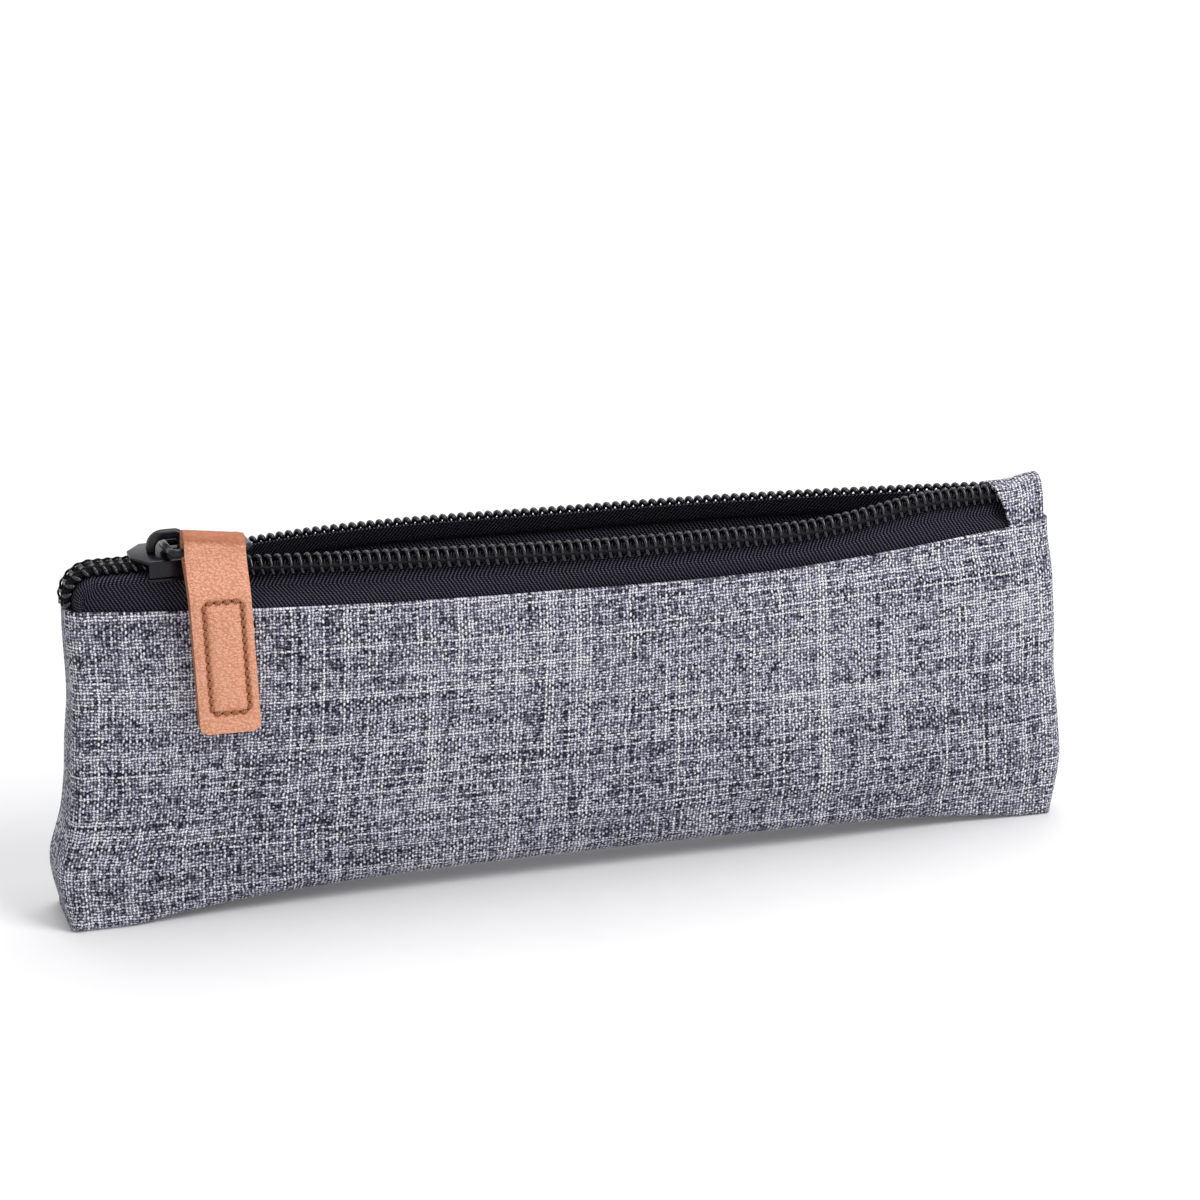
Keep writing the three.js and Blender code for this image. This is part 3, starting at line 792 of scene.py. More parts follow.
class Bench:
    """Blender's tools, used one step at a time on one piece."""

    @staticmethod
    def clear() -> None:
        """Leaves edit mode and deselects everything."""
        if bpy.context.object is not None and bpy.context.object.mode != "OBJECT":
            bpy.ops.object.mode_set(mode="OBJECT")
        bpy.ops.object.select_all(action="DESELECT")

    @staticmethod
    def pick(*pieces: Object) -> Object:
        """Selects pieces and makes the first one active.

        Args:
            pieces: what to select.

        Returns:
            The active piece.
        """
        Bench.clear()
        for piece in pieces:
            piece.select_set(True)
        bpy.context.view_layer.objects.active = pieces[0]
        return pieces[0]

    @staticmethod
    def apply(piece: Object) -> None:
        """Applies every modifier of a piece, in order.

        Args:
            piece: the piece.
        """
        Bench.pick(piece)
        for modifier in list(piece.modifiers):
            bpy.ops.object.modifier_apply(modifier=modifier.name)

    @staticmethod
    def edit_all() -> None:
        """Enters edit mode with everything selected."""
        bpy.ops.object.mode_set(mode="EDIT")
        bpy.ops.mesh.select_all(action="SELECT")

    @staticmethod
    def area(piece: Object) -> float:
        """Area of a sheet, in square metres."""
        return sum(polygon.area for polygon in piece.data.polygons)

    @staticmethod
    def draw_in(piece: Object, keep: float) -> None:
        """Gives a soft piece a mesh of its own."""
        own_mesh(piece)

    @staticmethod
    def cloth(name: str, rows: Grid, uvs: FlatGrid) -> Object:
        """A grid primitive laid onto rows of points, with its own cloth coordinates.

        Args:
            name: the piece's name.
            rows: points in millimetres, row by row.
            uvs: millimetres along and across the cloth at each point.

        Returns:
            The sheet, with no thickness.
        """
        Bench.clear()
        bpy.ops.mesh.primitive_grid_add(
            x_subdivisions=len(rows[0]) - 1, y_subdivisions=len(rows) - 1, size=1, calc_uvs=False
        )
        piece = bpy.context.object
        piece.name = name
        mesh = piece.data
        mesh.name = name
        mesh.vertices.foreach_set("co", [c * MM for row in rows for p in row for c in p])
        layer = mesh.uv_layers.new(name="Cloth")
        flat = [(u * MM, v * MM) for row in uvs for u, v in row]
        layer.data.foreach_set("uv", [c for loop in mesh.loops for c in flat[loop.vertex_index]])
        mesh.update()
        return piece

    @staticmethod
    def thicken(piece: Object, thickness: float, offset: float = -1.0, rim: int = 0) -> None:
        """Gives a sheet its thickness.

        Args:
            piece: the sheet.
            thickness: millimetres.
            offset: -1 keeps the outer face in place, 0 centres it.
            rim: how many material slots further on the cut edge's finish lies.
        """
        wall = piece.modifiers.new("thickness", "SOLIDIFY")
        wall.thickness = thickness * MM
        wall.offset = offset
        wall.use_even_offset = False
        wall.material_offset_rim = rim
        Bench.apply(piece)

    @staticmethod
    def round_edges(piece: Object, width: float, segments: int = 3, angle: float = 40.0) -> None:
        """Bevels the sharp edges of a piece.

        Args:
            piece: the piece.
            width: millimetres.
            segments: steps round the edge.
            angle: the sharpest turn, in degrees, that is left alone.
        """
        edge = piece.modifiers.new("edges", "BEVEL")
        edge.width = width * MM
        edge.segments = segments
        edge.limit_method = "ANGLE"
        edge.angle_limit = math.radians(angle)
        Bench.apply(piece)

    @staticmethod
    def smooth(piece: Object, angle: float = 50.0) -> None:
        """Shades a piece smooth, apart from edges sharper than an angle in degrees."""
        Bench.pick(piece)
        bpy.ops.object.shade_smooth_by_angle(angle=math.radians(angle))

    @staticmethod
    def plate(name: str, outline: Sequence[Flat], low: float, high: float) -> Object:
        """A flat plate: a disc moved onto an outline and extruded upwards.

        Args:
            name: the piece's name.
            outline: x and y of its corners, in millimetres, anticlockwise from above.
            low: height of its under side.
            high: height of its upper side.

        Returns:
            The plate.
        """
        Bench.clear()
        bpy.ops.mesh.primitive_circle_add(vertices=len(outline), fill_type="NGON")
        piece = bpy.context.object
        piece.name = name
        for vertex, (x, y) in zip(piece.data.vertices, outline):
            vertex.co = (x * MM, y * MM, low * MM)
        Bench.edit_all()
        rise = (0, 0, (high - low) * MM)
        bpy.ops.mesh.extrude_region_move(TRANSFORM_OT_translate={"value": rise})
        bpy.ops.mesh.select_all(action="SELECT")
        bpy.ops.mesh.normals_make_consistent(inside=False)
        bpy.ops.object.mode_set(mode="OBJECT")
        return piece

    @staticmethod
    def sweep(
        name: str, profile: Sequence[Flat], frames: Sequence[Matrix], joined: bool
    ) -> Object:
        """A profile extruded from frame to frame, as a bar is drawn out and bent.

        Args:
            name: the piece's name.
            profile: the section's corners in each frame's own X and Y, in millimetres.
            frames: places of the section, in millimetres.
            joined: True if the last section joins the first.

        Returns:
            The bar, closed at its ends.
        """
        Bench.clear()
        fill = "NOTHING" if joined else "NGON"
        bpy.ops.mesh.primitive_circle_add(vertices=len(profile), fill_type=fill)
        piece = bpy.context.object
        piece.name = name
        for vertex, (x, y) in zip(piece.data.vertices, profile):
            vertex.co = (frames[0] @ Vector((x, y, 0))) * MM
        Bench.edit_all()
        grow = bpy.ops.mesh.extrude_edges_move if joined else bpy.ops.mesh.extrude_region_move
        to_metres = Matrix.Scale(MM, 4)
        for before, after in zip(frames, frames[1:]):
            grow()
            move = to_metres @ after @ before.inverted() @ to_metres.inverted()
            work = bmesh.from_edit_mesh(piece.data)
            for vertex in work.verts:
                if vertex.select:
                    vertex.co = move @ vertex.co
            bmesh.update_edit_mesh(piece.data)
        if joined:
            bpy.ops.mesh.select_mode(type="EDGE")
            bpy.ops.mesh.select_all(action="DESELECT")
            bpy.ops.mesh.select_non_manifold(
                extend=False, use_wire=False, use_multi_face=False,
                use_non_contiguous=False, use_verts=False,
            )
            bpy.ops.mesh.bridge_edge_loops()
        bpy.ops.mesh.select_mode(type="VERT")
        bpy.ops.mesh.select_all(action="SELECT")
        bpy.ops.mesh.normals_make_consistent(inside=False)
        bpy.ops.object.mode_set(mode="OBJECT")
        return piece

    @staticmethod
    def wire(
        name: str, points: Sequence[Vector], radius: float, swell: Sequence[float], sides: int = 4
    ) -> Object:
        """A round wire drawn along a line of points.

        Args:
            name: the piece's name.
            points: its centre line, in millimetres.
            radius: its radius, in millimetres.
            swell: factor on the radius at each point.
            sides: half the number of faces round it.

        Returns:
            The wire, as a mesh.
        """
        Bench.clear()
        curve = bpy.data.curves.new(name, "CURVE")
        curve.dimensions = "3D"
        curve.bevel_depth = radius * MM
        curve.bevel_resolution = max(0, sides - 2)
        curve.use_fill_caps = True
        spline = curve.splines.new("POLY")
        spline.points.add(len(points) - 1)
        spline.points.foreach_set("co", [c for p in points for c in (*(p * MM), 1.0)])
        spline.points.foreach_set("radius", list(swell))
        made = bpy.data.objects.new(name, curve)
        bpy.context.scene.collection.objects.link(made)
        Bench.pick(made)
        bpy.ops.object.convert(target="MESH")
        return bpy.context.object

    @staticmethod
    def join(name: str, pieces: Sequence[Object]) -> Object:
        """Joins pieces into the first of them.

        Args:
            name: the joined piece's name.
            pieces: the pieces.

        Returns:
            The joined piece.
        """
        made = Bench.pick(*pieces)
        if len(pieces) > 1:
            bpy.ops.object.join()
        made.name = name
        made.data.name = name
        return made

    @staticmethod
    def paint(piece: Object, name: str, values: Sequence[float]) -> None:
        """Stores one number at each vertex, for the finish to read."""
        layer = piece.data.attributes.new(name, "FLOAT", "POINT")
        layer.data.foreach_set("value", list(values))

    @staticmethod
    def merge(piece: Object, reach: float = 0.02) -> None:
        """Merges points of a sheet that lie on each other.

        Args:
            piece: the sheet.
            reach: millimetres that count as none.
        """
        Bench.pick(piece)
        Bench.edit_all()
        bpy.ops.mesh.remove_doubles(threshold=reach * MM)
        bpy.ops.object.mode_set(mode="OBJECT")

    @staticmethod
    def relax(piece: Object, slack: float, swell: float, cap: float, frames: int = 18) -> None:
        """Lets a sheet fill out and sag as cloth, held where its "held" values say.

        Args:
            piece: the sheet, with no thickness.
            slack: the share by which the cloth is longer than its seams.
            swell: pressure of the padding behind it.
            cap: the furthest that a point may move, in millimetres.
            frames: steps of the simulation.
        """
        held = [point.value for point in piece.data.attributes["held"].data]
        rest = [vertex.co.copy() for vertex in piece.data.vertices]
        group = piece.vertex_groups.new(name="sewn")
        for index, weight in enumerate(held):
            group.add([index], weight, "REPLACE")
        cloth = piece.modifiers.new("relax", "CLOTH")
        rules = cloth.settings
        rules.quality = 8
        rules.mass = 0.1
        rules.tension_stiffness = 30
        rules.compression_stiffness = 30
        rules.shear_stiffness = 12
        rules.bending_stiffness = 0.4
        rules.effector_weights.gravity = 0.05
        rules.vertex_group_mass = "sewn"
        rules.shrink_min = -slack
        rules.use_pressure = True
        rules.uniform_pressure_force = swell
        cloth.collision_settings.use_collision = False
        cloth.collision_settings.use_self_collision = False
        cloth.point_cache.frame_start = 1
        cloth.point_cache.frame_end = frames
        scene = bpy.context.scene
        for step in range(1, frames + 1):
            scene.frame_set(step)
        shaped = piece.evaluated_get(bpy.context.evaluated_depsgraph_get()).data
        moved = [vertex.co.copy() for vertex in shaped.vertices]
        piece.modifiers.remove(cloth)
        piece.vertex_groups.remove(group)
        scene.frame_set(1)
        longest = 0.0
        for vertex, start, end, weight in zip(piece.data.vertices, rest, moved, held):
            step = (end - start) * (1 - weight)
            if step.length > cap * MM:
                step *= cap * MM / step.length
            vertex.co = start + step
            longest = max(longest, step.length)
        piece.data.update()
        LOG.info("%s: cloth moved up to %.2f mm", piece.name, longest / MM)

    @staticmethod
    def dress(piece: Object, *finishes: Material) -> Object:
        """Gives a piece its finishes, in slot order.

        Args:
            piece: the piece.
            finishes: its finishes.

        Returns:
            The piece.
        """
        piece.data.materials.clear()
        for finish in finishes:
            piece.data.materials.append(finish)
        return piece

    @staticmethod
    def fit(piece: Object, body: Body, slot: str, node: str) -> Object:
        """Sets a finished piece on its body in place of its solid.

        Args:
            piece: the piece.
            body: the body that carries it.
            slot: the record's material slot; not used.
            node: the solid that it stands for.

        Returns:
            The piece.
        """
        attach(piece, body.value)
        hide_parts(node)
        piece.data.calc_loop_triangles()
        LOG.info("%s: %d triangles on %s", piece.name, len(piece.data.loop_triangles), body.value)
        return piece


# The case


@dataclass
class CaseShape:
    """The form of the walls: half lengths and depths from the middle, by height."""

    edge_height: float = 72.5
    edge_dip: float = 1.7
    edge_sag: float = 1.3
    sag_at: float = 48.0
    sag_width: float = 40.0
    mouth_half_length: float = 112.6
    base_spread: float = 2.3
    flare_spread: float = 4.6
    flare_height: float = 14.0
    base_half_depth: float = 9.8
    mouth_end_half_depth: float = 5.4
    front_mouth_depth: float = 15.7
    rear_mouth_depth: float = 13.3
    rear_belly: float = 3.4
    base_corner: float = 1.5
    wall_corner: float = 3.5
    base_edge_end: float = 1.5
    base_edge_middle: float = 6.0
    base_raise: float = 3.8
    foot_length: float = 14.0
    waist: float = 2.0
    waist_from: Span = (10, 26)
    waist_ease: Span = (30, 42)
    waist_to: Span = (48, 70)
    left_end: Span = (70, 112)
    right_fill: float = 1.1
    fill_from: Span = (34, 50)
    fill_to: Span = (58, 71)
    right_end: Span = (50, 108)
    right_foot: float = 0.42
    right_foot_to: Span = (2, 34)
    right_foot_length: float = 6.0
    seam_half_gap: float = 0.02
    least_radius: float = 0.3
    corner_share: float = 0.8
    facet_steps: int = 3

    @property
    def base_half_length(self) -> float:
        """Half the length of the base."""
        return self.mouth_half_length + self.base_spread

    def half_length(self, z: float) -> float:
        """Half the case's length at a height.

        Args:
            z: the height.

        Returns:
            Millimetres.
        """
        flare = self.mouth_half_length + self.flare_spread
        if z < self.flare_height:
            return lerp(self.base_half_length, flare, ease_out(z / self.flare_height))
        t = (z - self.flare_height) / (self.edge_height - self.flare_height)
        return lerp(flare, self.mouth_half_length, ease_out(t))

    def end_depth(self, z: float) -> float:
        """Half the depth of the ends at a height."""
        return lerp(self.base_half_depth, self.mouth_end_half_depth, z / self.edge_height)

    def middle_depth(self, z: float, side: Side) -> float:
        """Depth of a wall's middle at a height.

        Args:
            z: the height.
            side: the wall.

        Returns:
            Millimetres.
        """
        t = z / self.edge_height
        if side is Side.FRONT:
            return lerp(self.base_half_depth, self.front_mouth_depth, ease_out(t))
        belly = self.rear_belly * 4 * t * (1 - t)
        return lerp(self.base_half_depth, self.rear_mouth_depth, t) + belly

    def corner(self, z: float) -> float:
        """Radius of the upright corners at a height."""
        return lerp(self.base_corner, self.wall_corner, ease_out(z / self.flare_height))

    @staticmethod
    def bow(x: float, reach: float, power: int = 2) -> float:
        """A bow from 1 in the middle to 0 at reach."""
        return max(0.0, 1 - abs(x / reach) ** power)

    def edge_at(self, x: float) -> float:
        """Height of the fabric's upper edge."""
        sag = self.edge_sag * hump(x, self.sag_at, self.sag_width)
        return self.edge_height - self.edge_dip * self.bow(x, self.mouth_half_length) - sag

    def raise_at(self, x: float) -> float:
        """How far the base arches off the surface."""
        foot = self.foot_length if x < 0 else self.right_foot_length
        return self.base_raise * self.bow(x, self.base_half_length - foot, 4)

    def base_edge(self, x: float) -> float:
        """Radius of the base's long edge."""
        bow = self.bow(x, self.base_half_length - self.foot_length, 4 if x > 0 else 2)
        return lerp(self.base_edge_end, self.base_edge_middle, bow)

    def depth(self, x: float, z: float, side: Side) -> float:
        """Depth of a wall's outside between its corners."""
        reach = self.half_length(z) - self.corner(z)
        return lerp(self.end_depth(z), self.middle_depth(z, side), self.bow(x, reach))

    def settle(self, point: Vector) -> Vector:
        """A point of the walls as the soft case sits.

        Args:
            point: the point on the even form.

        Returns:
            The point with the left end drawn in at half height, the right end fuller above it
            and the right foot narrower.
        """
        x, y, z = point
        waist = self.waist * smooth(z, *self.waist_from)
        waist *= 1 - 0.3 * smooth(z, *self.waist_ease)
        waist *= 1 - smooth(z, *self.waist_to)
        fill = self.right_fill * smooth(z, *self.fill_from) * (1 - smooth(z, *self.fill_to))
        right = smooth(x, *self.right_end)
        narrow = self.right_foot * right * (1 - smooth(z, *self.right_foot_to))
        return Vector((x + waist * smooth(-x, *self.left_end) + fill * right, y * (1 - narrow), z))

    def outline(self, z: float, side: Side, inset: float, columns: int, steps: int) -> list[Flat]:
        """Half a level's outline, from the left seam along the wall to the right seam.

        Args:
            z: the level.
            side: the wall.
            inset: depth below the outside.
            columns: spans along the wall.
            steps: spans round a corner.

        Returns:
            x and depth of each point.
        """
        length = self.half_length(z) - inset
        end = self.end_depth(z) - inset
        radius = min(max(self.corner(z) - inset, self.least_radius), self.corner_share * end)
        middle = self.middle_depth(z, side) - inset
        shares = [step / self.facet_steps for step in range(self.facet_steps)]
        left = [(-length, lerp(self.seam_half_gap, end - radius, share)) for share in shares]
        for turn in quarter_turn(steps):
            x = -length + radius * (1 - math.cos(turn))
            left.append((x, end - radius * (1 - math.sin(turn))))
        reach = length - radius
        wall = []
        for i in range(1, columns):
            x = lerp(-reach, reach, i / columns)
            wall.append((x, lerp(end, middle, self.bow(x, reach))))
        return left + wall + [(-x, y) for x, y in reversed(left)]


@dataclass
class WallSheet:
    """One sheet of a wall, from the seam under the base, round its edge and up to its top."""

    shape: CaseShape
    side: Side
    inset: float
    below_edge: float = 0.0
    columns: int = 110
    corner_steps: int = 5
    base_rows: int = 5
    edge_rows: int = 5
    wall_rows: int = 44
    top_inset: float = 0.0
    ease_height: float = 12.0
    ease_end: float = 2.0
    measure_height: float = 36.0
    foot_fade: float = 0.12
    top_fade: float = 0.06
    end_fade: Span = (0.3, 4.0)
    other_cut: Flat = (310.0, 310.0 / 3)
    handle: Callable[[float, float], float] = field(default=lambda x, z: 0.0)

    def rows(self) -> tuple[Grid, FlatGrid]:
        """Lays the sheet out.

        Returns:
            Points in millimetres, and millimetres along and up the cloth at each.
        """
        shape, side, sign = self.shape, self.side, self.side.value
        base = self._level(0.0, self.inset)
        edge = [max(shape.base_edge(x) - self.inset, shape.least_radius) for x, _ in base]
        along = lengths_along(self._level(self.measure_height, self.inset))
        along = [length - along[-1] / 2 for length in along]
        points: Grid = []
        cloth: FlatGrid = []
        spine = [self._spine(i, base) for i in range(len(base))]
        for row in range(self.base_rows):
            t = row / self.base_rows
            line, uv = [], []
            for i, (x, depth) in enumerate(base):
                flat = max(depth - edge[i], shape.seam_half_gap)
                px = lerp(spine[i], x, t)
                y = lerp(shape.seam_half_gap, flat, t)
                line.append(Vector((px, sign * y, self.inset + shape.raise_at(px))))
                uv.append((along[i], y - flat - edge[i]))
            points.append(line)
            cloth.append(uv)
        for row in range(self.edge_rows):
            turn = QUARTER * row / self.edge_rows
            line, uv = [], []
            for i, (x, depth) in enumerate(base):
                y = max(depth - edge[i] * (1 - math.sin(turn)), shape.seam_half_gap)
                z = self.inset + edge[i] * (1 - math.cos(turn)) + shape.raise_at(x)
                line.append(Vector((x, sign * y, z)))
                uv.append((along[i], z - (edge[i] - edge[i] * math.sin(turn))))
            points.append(line)
            cloth.append(uv)
        for row in range(self.wall_rows + 1):
            share = row / self.wall_rows
            level = share * (shape.edge_height - self.below_edge)
            ease_from = shape.edge_height - self.below_edge - self.ease_height
            ease = smooth(level, ease_from, shape.edge_height - self.ease_end)
            depth_inset = lerp(self.inset, self.top_inset or self.inset, ease)
            fade = smooth(share, 0.0, self.foot_fade) * smooth(1 - share, 0.0, self.top_fade)
            line, uv = [], []
            for i, (x, depth) in enumerate(self._level(level, depth_inset)):
                z = lerp(self.inset + edge[i], shape.edge_at(x) - self.below_edge, share)
                z += shape.raise_at(x) * (1 - share) ** 2
                proud = self.handle(x, z) * fade * smooth(depth, *self.end_fade)
                line.append(Vector((x, sign * (depth + proud), z)))
                uv.append((along[i], z))
            points.append(line)
            cloth.append(uv)
        points = [[shape.settle(point) for point in line] for line in points]
        if side is Side.REAR:
            points = [list(reversed(line)) for line in points]
            du, dv = self.other_cut
            cloth = [[(u + du, v + dv) for u, v in reversed(line)] for line in cloth]
        return points, cloth

    def _level(self, z: float, inset: float) -> list[Flat]:
        """The outline of a level of this sheet."""
        return self.shape.outline(z, self.side, inset, self.columns, self.corner_steps)

    def _spine(self, i: int, base: Sequence[Flat]) -> float:
        """x of a point on the seam under the base.

        Args:
            i: the column.
            base: the base's outline.

        Returns:
            Its x.
        """
        last = len(base) - 1
        corner = self.corner_steps + self.shape.facet_steps
        if 2 * i > last:
            return -self._spine(last - i, base)
        if i > corner:
            return base[i][0]
        return lerp(base[0][0], base[corner + 1][0], i / (corner + 1))


@dataclass
class FabricWalls:
    """The two outer panels of woven cloth."""

    shape: CaseShape
    thickness: float = 0.85
    hem_round: float = 0.34
    ripple: float = 0.32
    broad_wave: Flat = (34, 30)
    fine_wave: Flat = (13, 20)
    foot_drag: float = 0.32
    mouth_drag: float = 0.20
    base_grip: int = 5
    hem_grip: Span = (1, 5)
    end_grip: Span = (7, 13)
    keep: float = 0.34

    def build(self, weave: Material) -> list[Object]:
        """Makes both panels."""
        return [self._panel(side, weave) for side in Side]

    def handle(self, side: Side) -> Callable[[float, float], float]:
        """The soft unevenness of a panel.

        Args:
            side: the wall.

        Returns:
            Millimetres that it stands proud at a place.
        """
        seed = 3.0 if side is Side.FRONT else 11.0

        def proud(x: float, z: float) -> float:
            """Broad waves, and drag lines towards the sewn corners.

            Args:
                x: the place along the wall.
                z: its height.

            Returns:
                Millimetres.
            """
            broad = waves(x, z, self.broad_wave, seed)
            fine = waves(x, z, self.fine_wave, seed + 5)
            reach = self.shape.mouth_half_length
            pull = 0.0
            for end in (-1, 1):
                from_end = reach - end * x
                drag = math.sin((from_end * 0.55 + (z - 20) * 0.42) / 4.2)
                foot = smooth(60 - from_end, 0, 55)
                pull += self.foot_drag * drag * foot * smooth(40 - z, 0, 36)
                fold = math.sin((from_end * 0.5 - (z - 66) * 0.6) / 3.6)
                pull += self.mouth_drag * fold * smooth(34 - from_end, 0, 30) * smooth(z, 40, 68)
            return self.ripple * (1.6 * broad + 0.6 * fine) + pull

        return proud

    def _panel(self, side: Side, weave: Material) -> Object:
        """Makes one panel.

        Args:
            side: the wall.
            weave: its finish.

        Returns:
            The panel.
        """
        sheet = WallSheet(self.shape, side, 0.0, handle=self.handle(side))
        rows, cloth = sheet.rows()
        piece = Bench.cloth(f"{side.word}_panel_cloth", rows, cloth)
        firm_rows = sheet.base_rows + sheet.edge_rows
        last = len(rows) - 1
        width = len(rows[0])
        held = []
        for row in range(len(rows)):
            for column in range(width):
                inwards = min(column, width - 1 - column)
                base = 1 - smooth(row, firm_rows, firm_rows + self.base_grip)
                hem = 1 - smooth(last - row, *self.hem_grip)
                end = 1 - smooth(inwards, *self.end_grip)
                held.append(max(base, hem, end))
        Bench.paint(piece, "held", held)
        Bench.merge(piece)
        area = Bench.area(piece)
        Bench.relax(piece, slack=0.004, swell=2000.0, cap=1.0)
        Bench.thicken(piece, self.thickness)
        Bench.round_edges(piece, self.hem_round)
        Bench.smooth(piece)
        Bench.dress(piece, weave)
        Bench.fit(piece, Body.CASE, "woven_fabric", f"{side.word}_panel")
        Bench.draw_in(piece, self.keep)
        return piece


@dataclass
class InnerLayers:
    """Foam and lining behind each panel."""

    shape: CaseShape
    foam_inset: float = 1.2
    foam: float = 2.5
    foam_below_edge: float = 10.0
    lining_inset: float = 4.0
    lining: float = 0.5
    lining_below_edge: float = 3.0
    lining_top_inset: float = 2.1
    crush: float = 0.5
    crush_wave: Flat = (16, 11)
    keep: float = 0.34

    def build(self, foam: Material, lining: Material) -> list[Object]:
        """Makes the foam and the lining of both walls.

        Args:
            foam: the foam's finish.
            lining: the lining's finish.

        Returns:
            The pieces.
        """
        made = []
        for side in Side:
            pad = WallSheet(
                self.shape, side, self.foam_inset, self.foam_below_edge,
                columns=60, base_rows=3, edge_rows=3, wall_rows=20,
            )
            name = f"{side.word}_insulation_pad"
            made.append(self._layer(name, pad, self.foam, foam, "insulation_foam"))
            skin = WallSheet(
                self.shape, side, self.lining_inset, self.lining_below_edge,
                columns=80, base_rows=3, edge_rows=3, wall_rows=30,
                top_inset=self.lining_top_inset, handle=self._crush,
            )
            name = f"{side.word}_lining_cloth"
            made.append(self._layer(name, skin, self.lining, lining, "lining"))
        return made

    def _crush(self, x: float, z: float) -> float:
        """Small creases of the loose lining, inwards only."""
        return -self.crush * abs(waves(x, z, self.crush_wave, 21.0))

    def _layer(
        self, name: str, sheet: WallSheet, thickness: float, look: Material, slot: str
    ) -> Object:
        """Makes one layer.

        Args:
            name: its name.
            sheet: its form.
            thickness: millimetres.
            look: its finish.
            slot: the record's material slot.

        Returns:
            The layer.
        """
        rows, cloth = sheet.rows()
        piece = Bench.cloth(name, rows, cloth)
        Bench.merge(piece)
        area = Bench.area(piece)
        Bench.thicken(piece, thickness)
        Bench.smooth(piece)
        Bench.dress(piece, look)
        node = f"{sheet.side.word}_{'lining' if slot == 'lining' else 'insulation'}"
        Bench.fit(piece, Body.CASE, slot, node)
        Bench.draw_in(piece, self.keep)
        return piece


# The zip


@dataclass
class ZipRun:
    """The zip's line: over the left end, through the slider, round the open mouth to the tab."""

    shape: CaseShape
    chain_height: float = 80.4
    end_radius: float = 6.0
    end_inset: float = 0.8
    end_turn: float = math.radians(115)
    lip_drop: float = 2.4
    coil_width: float = 4.0
    coil_thickness: float = 2.6
    front_bow: float = 11.5
    rear_bow: float = 10.0
    front_skew: float = -0.3
    rear_skew: float = 0.5
    mesh_depth: float = 0.45
    twist_start: float = 1.5
    twist_length: float = 13.0
    open_lean: float = math.radians(66)
    end_lean: float = math.radians(65)
    end_lean_length: float = 26.0
    tab_length: float = 13.0
    under_tab: float = 4.5
    slider_nose: float = -97.4
    slider_length: float = 12.2
    post: float = 2.0
    rear_lift: float = 1.8
    rear_lift_to: Span = (-65, 10)
    rear_lift_over: Span = (0, 11)
    front_lift: float = 1.0
    front_lift_to: Span = (-45, 30)
    front_lift_over: Span = (1, 15)
    front_dip: Bell = (0.8, 50, 16)
    tab_lift: Bell = (1.5, 82, 14)

    def __post_init__(self) -> None:
        """Works out the places along the run."""
        self.left = -(self.shape.mouth_half_length - self.end_inset)
        self.curve_start = self.left + self.end_radius
        self.curve_length = self.end_radius * self.end_turn
        self.tab_start = self.shape.mouth_half_length - self.tab_length
        self.length = self.curve_length + self.tab_start + self.under_tab - self.curve_start
        self.slider_mouth = self.slider_nose + self.slider_length
        self.lip_start = self.slider_mouth - self.post
        self.closed_offset = self.coil_width / 2 + self.shape.seam_half_gap

    def offset(self, x: float, side: Side) -> float:
        """Distance of a coil row's centre from the middle plane.

        Args:
            x: the place.
            side: the row.

        Returns:
            Millimetres.
        """
        t = clamp((x - self.lip_start) / (self.tab_start - self.lip_start))
        bow, skew = self.front_bow, self.front_skew
        if side is Side.REAR:
            bow, skew = self.rear_bow, self.rear_skew
        lens = 4 * t * (1 - t) * (1 + skew * (0.5 - t))
        meshed = 1 - smooth(x, self.lip_start, self.slider_mouth)
        return self.closed_offset - self.mesh_depth * meshed + bow * lens

    def lift(self, x: float, side: Side) -> float:
        """How far a row of the open mouth stands above its even line.

        Args:
            x: the place.
            side: the row.

        Returns:
            Millimetres.
        """
        if side is Side.REAR:
            even = self.rear_lift * (1 - smooth(x, *self.rear_lift_to))
            start, end = self.rear_lift_over
        else:
            (dip, *dip_at), (rise, *rise_at) = self.front_dip, self.tab_lift
            even = self.front_lift * (1 - smooth(x, *self.front_lift_to))
            even = even - dip * hump(x, *dip_at) + rise * hump(x, *rise_at)
            start, end = self.front_lift_over
        return even * smooth(x, self.slider_mouth + start, self.slider_mouth + end)

    def lean(self, x: float) -> float:
        """Slope of a row: flat where the rows meet, and steep where the mouth is open.

        Args:
            x: the place.

        Returns:
            Radians from the flat.
        """
        start = self.slider_mouth + self.twist_start
        up = self.open_lean * smooth(x, start, start + self.twist_length)
        fall = smooth(x, self.tab_start - self.end_lean_length, self.tab_start)
        return lerp(up, min(up, self.end_lean), fall)

    def station(self, run: float, side: Side) -> tuple[Vector, Vector, Vector]:
        """A place on one row.

        Args:
            run: millimetres from the left end.
            side: the row.

        Returns:
            Its centre, the direction out to the tape and the direction of its upper face.
        """
        sign = side.value
        turn = max(0.0, self.end_turn - run / self.end_radius)
        x = self.curve_start - self.end_radius * math.sin(turn) + max(0.0, run - self.curve_length)
        angle = self.lean(x)
        drop = self.end_radius * (1 - math.cos(turn)) + self.lip_drop * math.sin(angle)
        height = self.chain_height - drop + self.lift(x, side)
        centre = Vector((x, sign * self.offset(x, side), height))
        out = Vector((0, sign * math.cos(angle), -math.sin(angle)))
        face = Vector((0, sign * math.sin(angle), math.cos(angle))) * math.cos(turn)
        face += Vector((-math.sin(turn), 0, 0))
        return centre, out, face.normalized()


